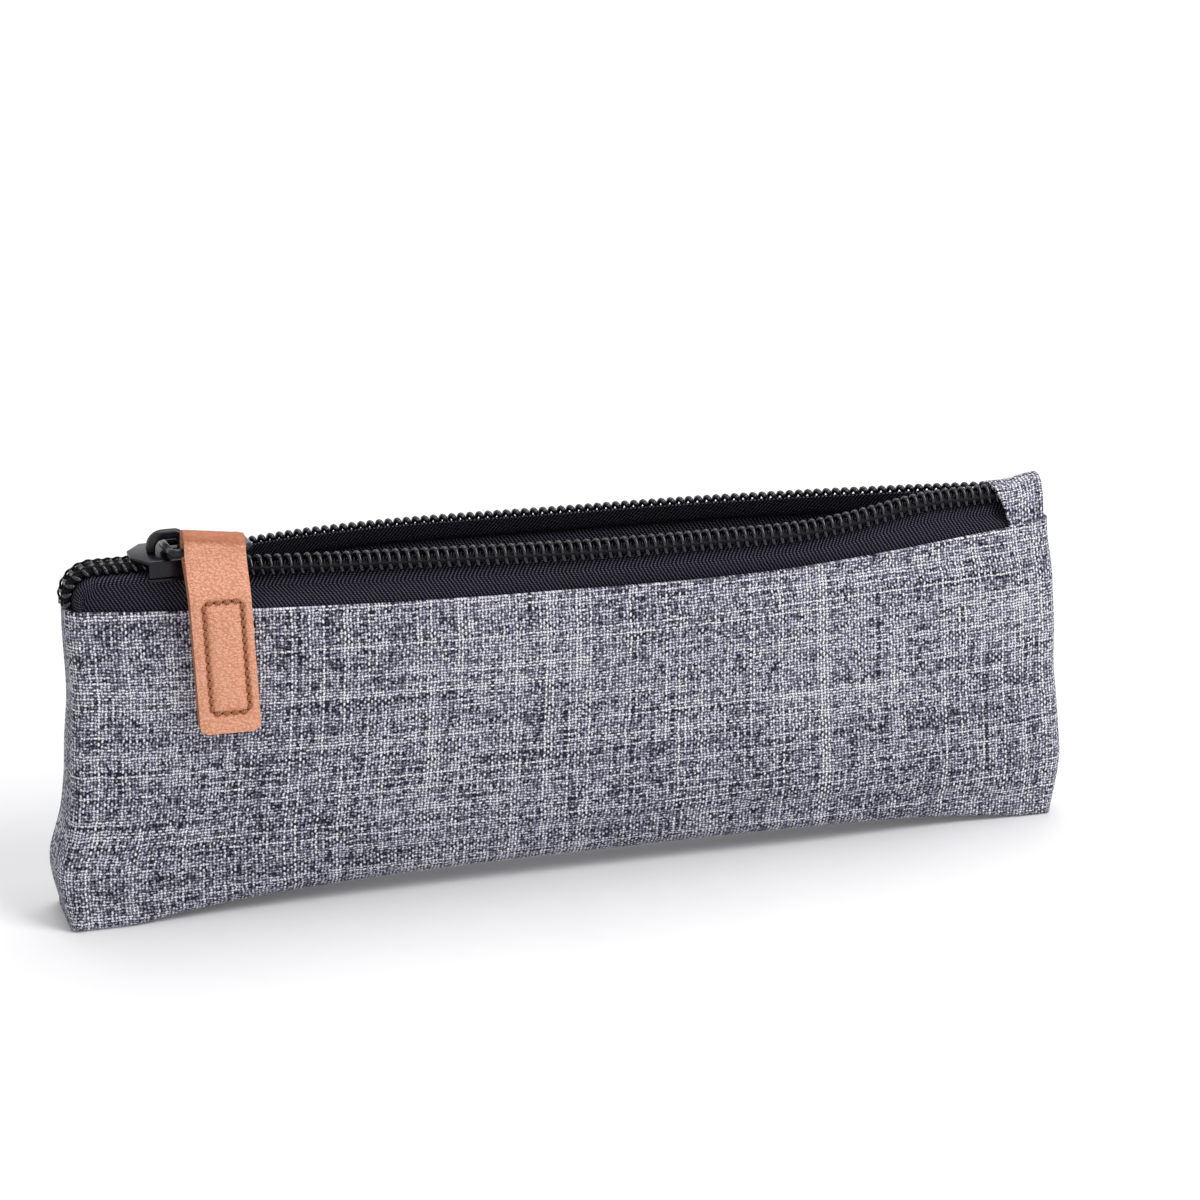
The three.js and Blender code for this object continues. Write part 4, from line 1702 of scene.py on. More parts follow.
@dataclass
class ZipTapes:
    """The two black tapes, tucked behind the panels and running up under the coils."""

    run: ZipRun
    thickness: float = 0.55
    tuck: float = 6.5
    shoulder: float = 2.4
    closed_shoulder: float = 1.3
    panel_thickness: float = 0.9
    clearance: float = 0.3
    end_wrap: float = 6.0
    end_rises: tuple[float, float, float] = (1.2, 2.0, 2.8)
    end_inset: float = 0.3
    turn_share: float = 0.6
    bed_sink: float = 0.15
    head_short: float = 0.35
    front_sag: float = -1.2
    rear_sag: float = -0.25
    open_rise: float = 0.45
    stations: int = 216
    steps: int = 4
    keep: float = 0.30

    def build(self, tape: Material) -> list[Object]:
        """Makes both tapes."""
        return [self._tape(side, tape) for side in Side]

    def _spine(self, run: float, side: Side) -> list[Vector]:
        """The tape's cross line at a place: foot, rim, shoulder, and the bed under the coil.

        Args:
            run: millimetres from the left end.
            side: the row.

        Returns:
            Its points, from the foot up.
        """
        zip_run, shape, sign = self.run, self.run.shape, side.value
        centre, out, face = zip_run.station(max(run, 0.0), side)
        bed = centre - face * (zip_run.coil_thickness / 2 - self.bed_sink)
        tail = bed + out * (zip_run.coil_width / 2 + self.clearance)
        steep = clamp(zip_run.lean(centre.x) / zip_run.open_lean)
        shoulder = tail + out * lerp(self.closed_shoulder, self.shoulder, steep)
        sag = self.front_sag if side is Side.FRONT else self.rear_sag
        shoulder += face * lerp(sag, self.open_rise, steep)
        limit = shape.mouth_half_length - shape.wall_corner
        x = max(-limit, min(limit, centre.x))
        inset = self.panel_thickness + self.clearance + self.thickness / 2

        def behind(z: float) -> Vector:
            """A point just inside the panel."""
            return Vector((x, sign * (shape.depth(x, z, side) - inset), z))

        edge = shape.edge_at(x)
        head = bed - out * (zip_run.coil_width / 2 - self.head_short)
        if run >= 0:
            return [behind(edge - self.tuck), behind(edge), shoulder, tail, head]
        share = -run / self.end_wrap
        seam = Vector((zip_run.left + self.end_inset, sign * shape.seam_half_gap, 0.0))
        foot, rim = (self._round_end(z, share, sign, inset) for z in (edge - self.tuck, edge))
        tops = [
            point.lerp(seam + Vector((0, 0, edge + rise)), share)
            for point, rise in zip((shoulder, tail, head), self.end_rises)
        ]
        return [foot, rim, *tops]

    def _round_end(self, z: float, share: float, sign: int, inset: float) -> Vector:
        """A point just inside the panel, on its way round the left corner to the seam.

        Args:
            z: its height.
            share: how far round it lies.
            sign: the side.
            inset: depth below the panel's outside.

        Returns:
            The point.
        """
        shape = self.run.shape
        corner = shape.corner(z)
        turn = QUARTER * clamp(share / self.turn_share)
        depth = shape.end_depth(z) - corner + (corner - inset) * math.cos(turn)
        on_end = clamp((share - self.turn_share) / (1 - self.turn_share))
        depth = lerp(depth, shape.seam_half_gap, on_end)
        x = shape.half_length(z) - corner + (corner - inset) * math.sin(turn)
        return Vector((-x, sign * depth, z))

    def _line(self, points: Sequence[Vector]) -> list[Vector]:
        """A smooth line through a few points.

        Args:
            points: the points.

        Returns:
            The line's points.
        """
        line = [points[0].copy()]
        for i in range(len(points) - 1):
            before = points[max(0, i - 1)]
            a, b = points[i], points[i + 1]
            after = points[min(len(points) - 1, i + 2)]
            for step in range(1, self.steps + 1):
                t = step / self.steps
                pull = (-before + 3 * a - 3 * b + after) * t**3
                pull += (2 * before - 5 * a + 4 * b - after) * t**2
                pull += (b - before) * t
                line.append(a + pull * 0.5)
        return line

    def _tape(self, side: Side, tape: Material) -> Object:
        """Makes one tape.

        Args:
            side: the row.
            tape: its finish.

        Returns:
            The tape.
        """
        columns = []
        for i in range(self.stations + 1):
            run = lerp(-self.end_wrap, self.run.length, i / self.stations)
            columns.append((run, self._line(self._spine(run, side))))
        if side is Side.REAR:
            columns.reverse()
        rows = [[line[r] for _, line in columns] for r in range(len(columns[0][1]))]
        falls = [lengths_along(line[::-1])[::-1] for _, line in columns]
        uvs = [[(run, fall[r]) for (run, _), fall in zip(columns, falls)] for r in range(len(rows))]
        piece = Bench.cloth(f"{side.word}_tape_cloth", rows, uvs)
        area = Bench.area(piece)
        Bench.thicken(piece, self.thickness, offset=0.0)
        Bench.smooth(piece, 70)
        Bench.dress(piece, tape)
        Bench.fit(piece, Body.CASE, "zip_tape", f"{side.word}_zip_tape")
        Bench.draw_in(piece, self.keep)
        return piece


@dataclass
class ZipCoils:
    """The two rows of coil: one filament each, wound flat, with heads towards the other row."""

    run: ZipRun
    pitch: float = 2.1
    wire: float = 0.48
    head: float = 2.6
    head_swell: float = 0.30
    arch: float = 0.30
    tail: float = 2.2
    steps: int = 18
    squareness: float = 0.8
    thread: float = 0.28
    thread_out: float = 0.45
    thread_sink: float = 0.20
    thread_wave: float = 0.14
    core: float = 0.80
    core_out: float = 0.3
    thread_steps: int = 6
    keep: float = 0.30

    def build(self, nylon: Material, thread: Material) -> list[Object]:
        """Makes both rows, with the thread that sews them down."""
        return [self._row(side, nylon, thread) for side in Side]

    def _sewing(self, side: Side) -> list[Object]:
        """The thread over one row's turns, and the cord inside them.

        Args:
            side: the row.

        Returns:
            The thread and the cord.
        """
        over, inside = [], []
        count = int(self.run.length / self.pitch * self.thread_steps)
        for i in range(count + 1):
            place = lerp(self.pitch / 2, self.run.length, i / count)
            centre, out, face = self.run.station(place, side)
            wave = math.cos(2 * math.pi * (place - self._start(side)) / self.pitch)
            height = self.run.coil_thickness / 2 - self.thread_sink + self.thread_wave * wave
            over.append(centre + out * self.thread_out + face * height)
            inside.append(centre + out * self.core_out)
        return [
            Bench.wire("row_thread", over, self.thread, [1.0] * len(over), 3),
            Bench.wire("row_core", inside, self.core, [1.0] * len(inside), 3),
        ]

    def _start(self, side: Side) -> float:
        """Where a row's first turn begins, half a turn apart so that the heads mesh."""
        return 0.0 if side is Side.FRONT else self.pitch / 2

    def _row(self, side: Side, nylon: Material, thread: Material) -> Object:
        """Winds one row.

        Args:
            side: the row.
            nylon: the filament's finish.
            thread: the finish of the thread that sews it down.

        Returns:
            The row.
        """
        start = self._start(side)
        turns = int((self.run.length - start) / self.pitch)
        rise = self.run.coil_thickness / 2 - self.wire
        points, swell = [], []
        for i in range(turns * self.steps + 1):
            angle = side.value * 2 * math.pi * i / self.steps
            bent = self.arch * math.sin(2 * abs(angle)) / (2 * math.pi)
            place = start + self.pitch * (i / self.steps + bent)
            centre, out, face = self.run.station(place, side)
            across = math.cos(angle)
            across = math.copysign(abs(across) ** self.squareness, across)
            reach = self.tail if across > 0 else self.head
            aside = out * (reach - self.wire) * across
            points.append(centre + aside + face * (rise * math.sin(angle)))
            swell.append(1 + self.head_swell * smooth(-across, 0.55, 1.0))
        filament = Bench.wire(f"{side.word}_coil_filament", points, self.wire, swell)
        sewing = self._sewing(side)
        Bench.dress(filament, nylon)
        for cord in sewing:
            Bench.dress(cord, thread)
        piece = Bench.join(f"{side.word}_coil_filament", [filament, *sewing])
        Bench.smooth(piece, 80)
        Bench.fit(piece, Body.CASE, "zip_coil", f"{side.word}_zip_coil")
        Bench.draw_in(piece, self.keep)
        return piece


@dataclass
class EndTab:
    """The fabric folded over the zip's sewn end."""

    run: ZipRun
    thickness: float = 0.75
    slant: float = 3.4
    low_ridge: float = 80.9
    high_ridge: float = 82.3
    cloth_width: float = 27.0
    overlap: float = 0.7
    end_gap: float = 2.0
    foot_inset: float = 0.35
    foot_drop: float = 0.6
    crumple: float = 0.25
    edge_round: float = 0.3
    columns: int = 22
    end_columns: int = 4
    rows: int = 30

    def build(self, weave: Material) -> Object:
        """Makes the tab.

        Args:
            weave: its finish.

        Returns:
            The tab.
        """
        rows: Grid = []
        uvs = []
        for r in range(self.rows + 1):
            t = r / self.rows
            line, uv = [], []
            for c in range(self.columns + self.end_columns + 1):
                point = self._point(t, min(1.0, c / self.columns))
                inward = abs(point.y) * max(0, c - self.columns) / self.end_columns
                point.y -= math.copysign(inward, point.y)
                line.append(point)
                uv.append((point.x + inward, (t - 0.5) * self.cloth_width))
            rows.append(line)
            uvs.append(uv)
        piece = Bench.cloth("end_tab_cloth", rows, uvs)
        area = Bench.area(piece)
        Bench.thicken(piece, self.thickness)
        Bench.round_edges(piece, self.edge_round)
        Bench.smooth(piece)
        Bench.dress(piece, weave)
        Bench.fit(piece, Body.CASE, "woven_fabric", "zip_end_tab")
        return piece

    def _point(self, t: float, s: float) -> Vector:
        """A point of the tab.

        Args:
            t: from the front foot over the ridge to the rear foot.
            s: from the mouth's side to the case's end.

        Returns:
            The point.
        """
        shape = self.run.shape
        fold = 1 - abs(2 * t - 1)
        start = self.run.tab_start + self.slant * (1 - fold) ** 1.2 - self.overlap
        x = lerp(start, shape.mouth_half_length - self.end_gap, s)
        side = Side.FRONT if t < 0.5 else Side.REAR
        ridge = lerp(self.low_ridge, self.high_ridge, smooth(s, 0.25, 1.0))
        foot = shape.depth(x, shape.edge_height, side) - self.foot_inset
        low = shape.edge_at(x) - self.foot_drop
        angle = QUARTER * fold
        width = foot * math.cos(angle) ** 0.75
        z = low + (ridge - low) * math.sin(angle) ** 0.9
        crumple = self.crumple * noise.noise(Vector((x / 5, t * 6, 2.0)))
        return Vector((x, side.value * max(0.0, width + crumple * math.cos(angle)), z))


# The slider and its pull


@dataclass
class Slider:
    """The cast slider, with its crown."""

    run: ZipRun
    wall: float = 0.9
    half_width: float = 6.02
    half_height: float = 2.5
    nose_half_width: float = 2.2
    nose_reach: float = 0.5
    nose_sweep: float = 2.8
    mouth_round: float = 1.4
    flange_depth: float = 3.9
    roll: float = math.radians(1.5)
    crown_left: float = -93.9
    crown_length: float = 8.6
    crown_height: float = 4.7
    crown_bar: float = 1.9
    crown_width: float = 2.4
    left_bend: float = 2.7
    right_bend: float = 1.4
    foot_sink: float = 0.3
    foot_rise: float = 0.6
    under_inset: float = 0.25
    edge_angle: float = 30.0

    def build(self, enamel: Material) -> list[Object]:
        """Makes the slider and the crown."""
        return [self._body(enamel), self._crown(enamel)]

    @property
    def top(self) -> float:
        """Height of the upper plate's face."""
        return self.run.chain_height + self.half_height

    def _plan(self, inset: float) -> list[Flat]:
        """The plates' outline, drawn in by an inset.

        Args:
            inset: millimetres.

        Returns:
            x and y of its corners.
        """
        nose, mouth = self.run.slider_nose + inset, self.run.slider_mouth - inset
        half, blunt = self.half_width - inset, self.nose_half_width - inset
        points = [(nose - self.nose_reach, -blunt), (nose + self.nose_sweep, -half)]
        for turn in quarter_turn(4):
            x = mouth - self.mouth_round * (1 - math.sin(turn))
            points.append((x, -half + self.mouth_round * (1 - math.cos(turn))))
        return points + [(x, -y) for x, y in reversed(points)]

    def _body(self, enamel: Material) -> Object:
        """Makes the slider's two plates, its flanges and its post.

        Args:
            enamel: the finish.

        Returns:
            The slider.
        """
        top = Bench.plate("upper_plate", self._plan(0.0), self.top - self.wall, self.top)
        Bench.round_edges(top, 0.32, angle=self.edge_angle)
        bottom = self.top - 2 * self.half_height
        under = Bench.plate("lower_plate", self._plan(self.under_inset), bottom, bottom + self.wall)
        Bench.round_edges(under, 0.3, angle=self.edge_angle)
        parts = [top, under]
        nose, mouth = self.run.slider_nose, self.run.slider_mouth
        for side in (-1, 1):
            outer, inner = side * (self.half_width - 0.04), side * (self.half_width - self.wall)
            start, end = nose + self.nose_sweep + 0.1, mouth - self.mouth_round
            rail = [(start, outer), (end, outer), (end, inner), (start, inner)]
            if side > 0:
                rail.reverse()
            flange = Bench.plate("flange", rail, self.top - self.flange_depth, self.top - 0.3)
            Bench.round_edges(flange, 0.28, angle=self.edge_angle)
            parts.append(flange)
        wedge = [(mouth - self.run.post, 0.0), (mouth - 0.3, -0.4), (mouth - 0.3, 0.4)]
        parts.append(Bench.plate("post", wedge, bottom + 0.4, self.top - 0.4))
        piece = Bench.join("slider_casting", parts)
        axis = Matrix.Translation((0, 0, self.run.chain_height * MM))
        piece.data.transform(axis @ Matrix.Rotation(self.roll, 4, "X") @ axis.inverted())
        Bench.smooth(piece, 40)
        Bench.dress(piece, enamel)
        return Bench.fit(piece, Body.SLIDER, "black_metal", "slider_body")

    def _crown(self, enamel: Material) -> Object:
        """Makes the crown: a grooved bar bent over from foot to foot.

        Args:
            enamel: the finish.

        Returns:
            The crown.
        """
        half, width = self.crown_bar / 2, self.crown_width / 2
        profile = [
            (-width, -half * 0.7), (-width * 0.8, -half), (width * 0.8, -half),
            (width, -half * 0.7), (width, half * 0.55), (width * 0.84, half * 0.92),
            (width * 0.62, half), (width * 0.46, half * 0.60), (width * 0.30, half),
            (-width * 0.30, half), (-width * 0.46, half * 0.60), (-width * 0.62, half),
            (-width * 0.84, half * 0.92), (-width, half * 0.55),
        ]
        left = self.crown_left + half
        right = self.crown_left + self.crown_length - half
        crest = self.top + self.crown_height - half
        low, high = self.top - self.foot_sink, self.top + self.foot_rise
        path: list[Place] = [(left, low, 0.0), (left, high, 0.0)]
        for turn in quarter_turn(8):
            x = left + self.left_bend * (1 - math.cos(turn))
            path.append((x, crest - self.left_bend * (1 - math.sin(turn)), turn))
        for turn in quarter_turn(8):
            x = right - self.right_bend * (1 - math.sin(turn))
            path.append((x, crest - self.right_bend * (1 - math.cos(turn)), QUARTER + turn))
        path += [(right, high, math.pi), (right, low, math.pi)]
        frames = []
        for x, z, turn in path:
            along = Vector((math.sin(turn), 0, math.cos(turn)))
            outward = Vector((-math.cos(turn), 0, math.sin(turn)))
            frames.append(axes_at((x, 0, z), outward.cross(along), outward, along))
        piece = Bench.sweep("slider_crown_bar", profile, frames, False)
        soften = piece.modifiers.new("soften", "SUBSURF")
        soften.levels = soften.render_levels = 2
        Bench.apply(piece)
        Bench.smooth(piece, 60)
        Bench.dress(piece, enamel)
        return Bench.fit(piece, Body.SLIDER, "black_metal", "slider_crown")


@dataclass
class PullRing:
    """The wire ring that hangs in the crown and carries the strap."""

    pivot: float = -90.15
    length: float = 16.9
    front: float = -10.22
    rear: float = 2.3
    height: float = 84.38
    roll: float = math.radians(7)
    wire: float = 0.9
    corner: float = 1.6
    sides: int = 16
    corner_steps: int = 8

    def build(self, enamel: Material) -> Object:
        """Makes the ring.

        Args:
            enamel: its finish.

        Returns:
            The ring.
        """
        far = self.pivot + self.length
        corners = [
            (self.pivot, self.front, 2), (far, self.front, 3),
            (far, self.rear, 0), (self.pivot, self.rear, 1),
        ]
        frames = []
        rolled = Matrix.Translation((0, 0, self.height)) @ Matrix.Rotation(-self.roll, 4, "X")
        for x, y, quarter in corners:
            cx = x + (self.corner if x == self.pivot else -self.corner)
            cy = y + (self.corner if y == self.front else -self.corner)
            for i in range(self.corner_steps + 1):
                turn = QUARTER * (quarter + i / self.corner_steps)
                out = Vector((math.cos(turn), math.sin(turn), 0))
                up = Vector((0, 0, 1))
                place = Vector((cx, cy, 0)) + out * self.corner
                frames.append(rolled @ axes_at(place, out, up, out.cross(up)))
        turns = [2 * math.pi * s / self.sides for s in range(self.sides)]
        profile = [(self.wire * math.cos(turn), self.wire * math.sin(turn)) for turn in turns]
        piece = Bench.sweep("pull_ring_wire", profile, frames, True)
        Bench.smooth(piece, 60)
        Bench.dress(piece, enamel)
        return Bench.fit(piece, Body.RING, "black_metal", "pull_ring")


@dataclass
class PullStrap:
    """The leather strap, folded over the ring's front arm and sewn to itself."""

    left: float = -87.95
    width: float = 13.3
    length: float = 40.4
    lean: float = 1.9
    arm_y: float = -10.144
    arm_z: float = 85.626
    leather: float = 1.45
    eye: float = 1.2
    fold_rise: float = 2.0
    fold_left: float = 0.5
    fold_right: float = -1.35
    open_length: float = 13.0
    standoff: float = 3.14
    bend_length: float = 11.5
    stitch_side: float = 2.5
    stitch_shift: float = 0.35
    stitch_end: float = 4.6
    stitch_box: float = 25.4
    stitch_length: float = 1.9
    thread: float = 0.58
    box_corner: float = 1.2
    press: float = 0.42
    press_width: float = 0.62
    pillow: float = 0.34
    pillow_width: float = 2.4
    rim: float = 0.22
    rim_width: float = 1.3
    end_corner: float = 1.6
    edge_round: float = 0.28
    stitch_lift: float = 0.26
    stitch_skew: float = 0.16
    hole_lift: float = 0.12
    fold_fade: float = 0.45
    fold_steps: int = 26
    rise_steps: int = 4
    columns: int = 44
    step: float = 0.33

    def build(
        self, leather: Material, edge: Material, thread: Material, hole: Material
    ) -> list[Object]:
        """Makes the strap, with its cut edges, and its stitches, with their needle holes."""
        return [self._strap(leather, edge), self._stitching(thread, hole)]

    @property
    def fold_radius(self) -> float:
        """Outer radius of the fold."""
        return self.eye + self.leather

    def _offset(self, down: float) -> float:
        """How far the strap hangs in front of the arm."""
        return self.standoff * smooth(down, 0, self.bend_length)

    def _half(self, down: float) -> float:
        """Half the strap's thickness."""
        return lerp(self.fold_radius, self.leather + 0.05, smooth(down, 0, self.open_length))

    def _sway(self, z: float) -> float:
        """How far the strap hangs out of true at a height from the arm."""
        return self.lean * clamp(-z / self.length)

    def _front(self, down: float) -> float:
        """y of the front face, from the arm."""
        return -self._offset(down) - self._half(down)

    def _section(self) -> list[tuple[float, float, float]]:
        """The strip's outer line, from the front's lower end over the fold and down behind.

        Returns:
            y, z and share of fold at each point, from the arm.
        """
        steps = int(self.length / self.step)
        falls = [self.length * i / steps for i in range(steps + 1)]
        line = [(self._front(d), -d, 0.0) for d in reversed(falls)]
        rises = self.rise_steps
        line += [(-self.fold_radius, self.fold_rise * i / rises, 0.0) for i in range(1, rises)]
        for i in range(self.fold_steps + 1):
            turn = math.pi * i / self.fold_steps
            up = math.sin(turn)
            z = self.fold_rise + self.fold_radius * up
            line.append((-self.fold_radius * math.cos(turn), z, smooth(up, 0.0, self.fold_fade)))
        line += [(self.fold_radius, self.fold_rise * (1 - i / rises), 0.0) for i in range(1, rises)]
        line += [(-self._offset(d) + self._half(d), -d, 0.0) for d in falls]
        return line

    def _sewn(self, x: float, z: float) -> tuple[float, float]:
        """The pull of the stitches on the leather's face.

        Args:
            x: millimetres from the strap's left edge.
            z: height from the arm.

        Returns:
            Distance from the stitch line, negative inside the box, and the share of the pull.
        """
        low = -(self.length - self.stitch_end)
        cx, cz = self.width / 2 + self.stitch_shift, low + self.stitch_box / 2
        half_x = self.width / 2 - self.stitch_side - self.box_corner
        half_z = self.stitch_box / 2 - self.box_corner
        dx, dz = abs(x - cx) - half_x, abs(z - cz) - half_z
        outside = math.hypot(max(dx, 0), max(dz, 0))
        gap = outside + min(max(dx, dz), 0) - self.box_corner
        return gap, hump(gap, 0.0, self.press_width)

    def _strap(self, leather: Material, edge: Material) -> Object:
        """Makes the folded strip.

        Args:
            leather: its finish.
            edge: the finish of its cut edges.

        Returns:
            The strap.
        """
        section = self._section()
        travelled = lengths_along([point[:2] for point in section])
        rows: Grid = []
        uvs, folds, grooves = [], [], []
        half = len(section) // 2
        for i, (y, z, fold) in reversed(list(enumerate(section))):
            line, uv = [], []
            inwards = 1 if i <= half else -1
            for c in range(self.columns + 1):
                x = self.width * c / self.columns
                side_gap = min(x, self.width - x)
                groove = pillow = corner = 0.0
                if z < 0:
                    gap, groove = self._sewn(x, z)
                    pillow = self.pillow * smooth(-gap, 0.0, self.pillow_width)
                    corner = self._corner_pull(side_gap, self.length + z)
                press = self.press * groove - pillow
                rim = self.rim * (1 - smooth(side_gap, 0.0, self.rim_width))
                px = x + self._sway(z) + (corner if x < self.width / 2 else -corner)
                py = self.arm_y + y + inwards * (press + rim)
                tilt = lerp(self.fold_left, self.fold_right, x / self.width)
                pz = z + tilt * clamp(z / self.fold_rise)
                line.append(Vector((self.left + px, py, self.arm_z + pz)))
                uv.append((x, travelled[i]))
                folds.append(fold)
                grooves.append(groove if i <= half else 0.0)
            rows.append(line)
            uvs.append(uv)
        piece = Bench.cloth("pull_strap_leather", rows, uvs)
        Bench.paint(piece, "fold", folds)
        # The groove share also darkens the leather there, as painted shade.
        Bench.paint(piece, "groove", grooves)
        Bench.pick(piece)
        Bench.edit_all()
        bpy.ops.mesh.flip_normals()
        bpy.ops.object.mode_set(mode="OBJECT")
        Bench.dress(piece, leather, edge)
        Bench.thicken(piece, self.leather, rim=1)
        Bench.round_edges(piece, self.edge_round, angle=50)
        Bench.smooth(piece, 60)
        Bench.fit(piece, Body.STRAP, "leather", "pull_strap")
        return piece

    def _corner_pull(self, side_gap: float, near_end: float) -> float:
        """How far a point draws in to round the strap's lower corner.

        Args:
            side_gap: its distance from the nearer side.
            near_end: its distance from the lower end.

        Returns:
            Millimetres.
        """
        radius = self.end_corner
        if side_gap > radius or near_end >= radius:
            return 0.0
        reach = math.sqrt(max(0.0, radius**2 - (radius - near_end) ** 2))
        return (radius - reach) * (1 - side_gap / radius)

    def _stitching(self, thread: Material, hole: Material) -> Object:
        """Sews the box of stitches.

        Args:
            thread: the stitches' finish.
            hole: the finish of the needle holes.

        Returns:
            The stitching.
        """
        low = -(self.length - self.stitch_end)
        left = self.stitch_side + self.stitch_shift
        right = self.width - self.stitch_side + self.stitch_shift
        loop = self._loop(left, low, right, low + self.stitch_box)
        total = sum((b - a).length for a, b in zip(loop, loop[1:] + loop[:1]))
        count = round(total / self.stitch_length)
        stitch, pit = self._one_stitch(thread), self._one_hole(hole)
        made = []
        for i in range(count):
            at, along = self._on_loop(loop, total * i / count)
            end, _ = self._on_loop(loop, total * (i + 0.5) / count)
            turn = -math.atan2(along.y, along.x)
            for model, place, lift, skew in (
                (stitch, at, self.stitch_lift, self.stitch_skew),
                (pit, end, self.hole_lift, 0.0),
            ):
                copy = model.copy()
                copy.data = model.data.copy()
                bpy.context.scene.collection.objects.link(copy)
                x = self.left + place.x + self._sway(place.y)
                y = self._front(-place.y) + self.press
                where = Vector((x, self.arm_y + y - lift, self.arm_z + place.y))
                spin = Matrix.Rotation(turn + skew, 4, "Y")
                copy.data.transform(Matrix.Translation(where * MM) @ spin)
                made.append(copy)
        for model in (stitch, pit):
            bpy.data.objects.remove(model)
        piece = Bench.join("strap_box_stitching", made)
        Bench.smooth(piece, 80)
        return Bench.fit(piece, Body.STRAP, "thread", "strap_stitching")

    def _loop(self, left: float, low: float, right: float, high: float) -> list[Vector]:
        """A rectangle with rounded corners, as points in the strap's face.

        Args:
            left: its left side.
            low: its lower side.
            right: its right side.
            high: its upper side.

        Returns:
            Its points, anticlockwise.
        """
        r, steps = self.box_corner, 5
        points = []
        xs, zs = (right - r, left + r, left + r, right - r), (high - r, high - r, low + r, low + r)
        for quarter, (cx, cz) in enumerate(zip(xs, zs)):
            for i in range(steps + 1):
                turn = QUARTER * (quarter + i / steps)
                points.append(Vector((cx + r * math.cos(turn), cz + r * math.sin(turn))))
        return points

    @staticmethod
    def _on_loop(loop: Sequence[Vector], distance: float) -> tuple[Vector, Vector]:
        """A place on a closed line, and the direction there.

        Args:
            loop: its points.
            distance: length along it.

        Returns:
            The point and the direction.
        """
        for a, b in zip(loop, list(loop[1:]) + [loop[0]]):
            span = (b - a).length
            if distance <= span and span > 1e-9:
                return a.lerp(b, distance / span), (b - a) / span
            distance -= span
        return loop[0], (loop[1] - loop[0]).normalized()

    def _one_stitch(self, thread: Material) -> Object:
        """One stitch along X: a ball drawn out and arched.

        Args:
            thread: its finish.

        Returns:
            The stitch.
        """
        Bench.clear()
        bpy.ops.mesh.primitive_uv_sphere_add(segments=10, ring_count=8, radius=1)
        piece = bpy.context.object
        half = self.stitch_length * 0.43
        layer = piece.data.uv_layers.new(name="Cloth")
        for vertex in piece.data.vertices:
            x, y, z = vertex.co
            arched = y * self.thread * 0.8 + 0.1 * z * z
            vertex.co = Vector((z * half, arched, x * self.thread)) * MM
        for loop in piece.data.loops:
            co = piece.data.vertices[loop.vertex_index].co / MM
            layer.data[loop.index].uv = (co.x / (2 * half), math.atan2(co.z, co.y) / (2 * math.pi))
        return Bench.dress(piece, thread)

    def _one_hole(self, hole: Material) -> Object:
        """One needle hole: a ball pressed flat, a dark disc of painted shade.

        Args:
            hole: its finish.

        Returns:
            The hole.
        """
        Bench.clear()
        bpy.ops.mesh.primitive_uv_sphere_add(segments=8, ring_count=6, radius=1)
        piece = bpy.context.object
        for vertex in piece.data.vertices:
            x, y, z = vertex.co
            vertex.co = Vector((x * 0.20, y * 0.08, z * 0.28)) * MM
        return Bench.dress(piece, hole)


# The studio


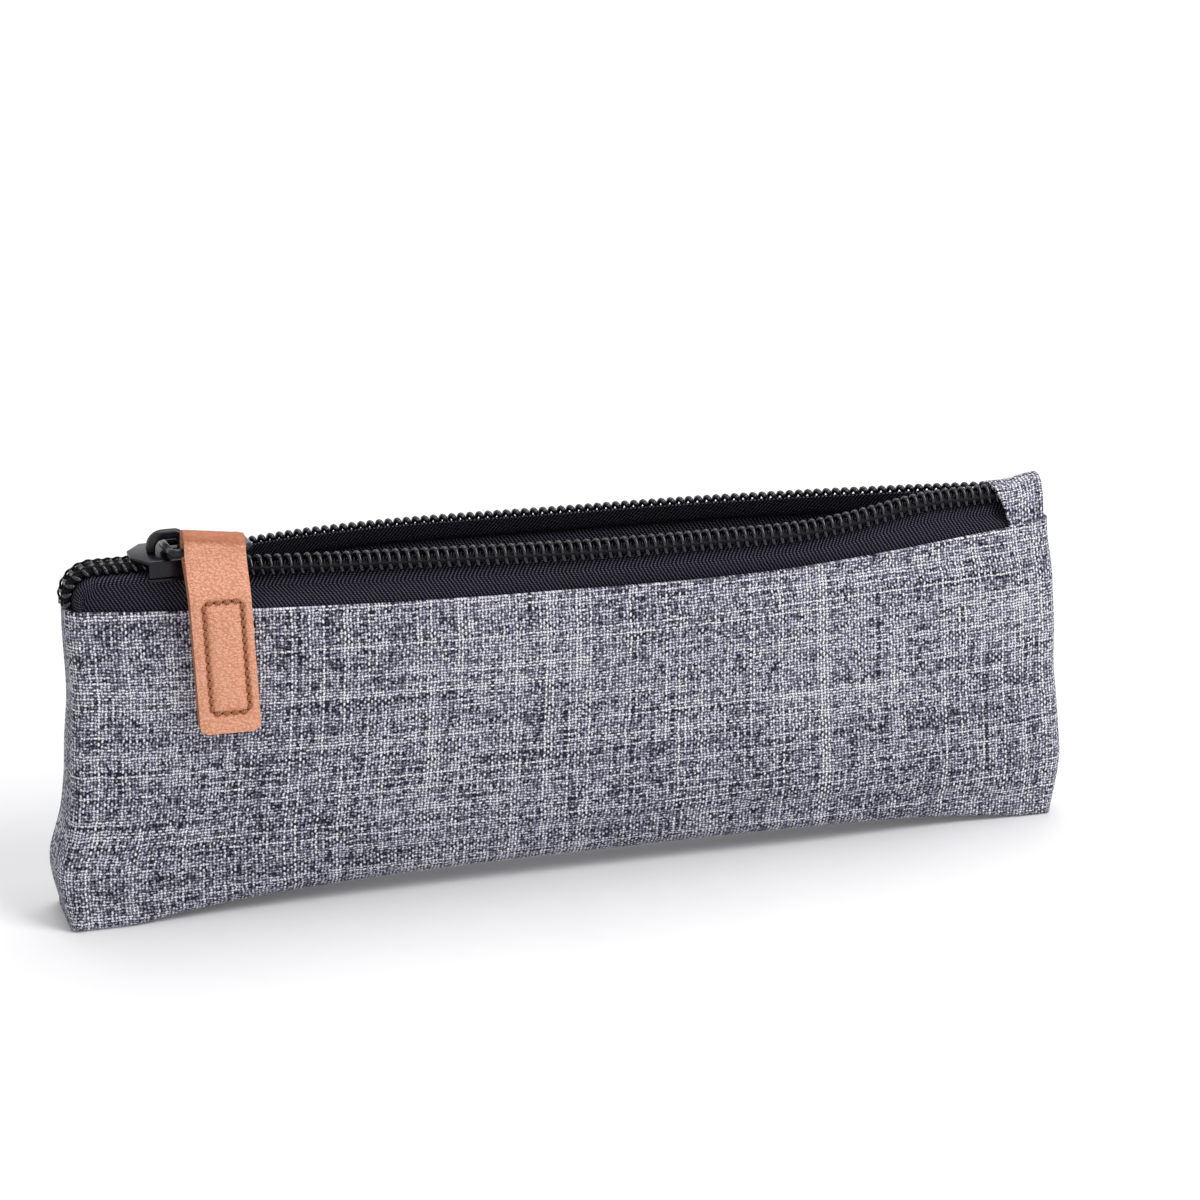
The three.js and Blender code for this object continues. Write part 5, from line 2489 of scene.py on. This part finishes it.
@dataclass
class Studio:
    """Floor, light and camera."""

    target: Place = (7.5, 0.0, 61.8)
    distance: float = 974.4
    azimuth: float = -16.1
    elevation: float = 20.0
    lens: float = 131.4
    ambient: float = 0.42
    floor_fill: float = 0.06
    far_fill: float = 0.75
    fill_reach: Span = (0.2, 1.3)
    aim: Place = (0, 0, 40)
    lamps: tuple[tuple[str, Place, float, float], ...] = (
        ("key_softbox", (560, -620, 900), 560, 9.0),
        ("top_softbox", (60, 240, 980), 760, 6.0),
        ("front_fill", (-520, -900, 330), 520, 1.0),
    )

    def build(self) -> None:
        """Sets up the stage."""
        self._floor()
        self._world()
        for lamp in self.lamps:
            self._lamp(*lamp)
        self._camera()
        bpy.context.scene.view_settings.view_transform = "Standard"

    def _floor(self) -> None:
        """A pale floor that stays white to the eye and keeps the shadow."""
        Bench.clear()
        bpy.ops.mesh.primitive_grid_add(x_subdivisions=8, y_subdivisions=8, size=6)
        floor = bpy.context.object
        floor.name = "studio_floor"
        g = Graph("studio_floor")
        grain = g.noise(g.place(), 30, detail=2)
        tone = g.ramp(grain, [(0.3, (0.80, 0.80, 0.81)), (0.7, (0.82, 0.82, 0.83))])
        away = g.node("VectorMath", operation="LENGTH")
        g.feed(away.inputs[0], g.place())
        fill = g.remap(away.outputs["Value"], *self.fill_reach, self.floor_fill, self.far_fill)
        glow = g.fed("Emission", Strength=g.math("MULTIPLY", g.to_the_eye(), fill))
        both = g.node("AddShader")
        for socket, shader in zip(both.inputs, (g.fed("BsdfDiffuse", Color=tone), glow)):
            g.feed(socket, shader.outputs[0])
        g.feed(g.output.inputs[0], both.outputs[0])
        Bench.dress(floor, g.owner)

    def _world(self) -> None:
        """White to the eye, and a plain soft light to the object."""
        g = Graph("studio", world=True)
        bpy.context.scene.world = g.owner
        strength = g.remap(g.to_the_eye(), 0.0, 1.0, self.ambient, 1.0)
        sky = g.fed("Background", Color=(1, 1, 1, 1), Strength=strength)
        g.feed(g.output.inputs[0], sky.outputs[0])

    def _lamp(self, name: str, place: Place, size: float, power: float) -> None:
        """Adds a soft box.

        Args:
            name: its name.
            place: where it stands, in millimetres.
            size: its side.
            power: watts.
        """
        light = bpy.data.lights.new(name, "AREA")
        light.shape = "SQUARE"
        light.size = size * MM
        light.energy = power
        lamp = bpy.data.objects.new(name, light)
        bpy.context.scene.collection.objects.link(lamp)
        lamp.location = Vector(place) * MM
        lamp.rotation_euler = (Vector(self.aim) - Vector(place)).to_track_quat("-Z", "Y").to_euler()

    def _camera(self) -> None:
        """Sets the camera at the picture's angle."""
        a, e = math.radians(self.azimuth), math.radians(self.elevation)
        back = Vector((math.sin(a) * math.cos(e), -math.cos(a) * math.cos(e), math.sin(e)))
        data = bpy.data.cameras.new("camera")
        data.lens = self.lens
        data.sensor_width = 36.0
        data.sensor_fit = "HORIZONTAL"
        data.clip_start = 0.01
        camera = bpy.data.objects.new("camera", data)
        bpy.context.scene.collection.objects.link(camera)
        camera.location = (Vector(self.target) + back * self.distance) * MM
        camera.rotation_euler = (-back).to_track_quat("-Z", "Y").to_euler()
        bpy.context.scene.camera = camera


def main() -> None:
    """Builds the case, piece by piece, and sets it in the studio."""
    logging.basicConfig(level=logging.INFO, format="%(name)s %(message)s")
    Studio().build()
    shape = CaseShape()
    run = ZipRun(shape)
    weave = MelangeWeave().build()
    enamel = BlackEnamel().build()
    groups = [
        FabricWalls(shape).build(weave),
        InnerLayers(shape).build(CellFoam().build(), SatinLining().build()),
        ZipTapes(run).build(HerringboneTape().build()),
        ZipCoils(run).build(CoilNylon().build(), BlackThread().build()),
        [EndTab(run).build(weave)],
        Slider(run).build(enamel),
        [PullRing().build(enamel)],
        PullStrap().build(
            PebbledLeather().build(), CutEdge().build(),
            SewingThread().build(), NeedleHole().build(),
        ),
    ]
    for group in groups:
        LOG.info("sub-assembly: %s", ", ".join(piece.name for piece in group))


if __name__ == "__main__":
    main()
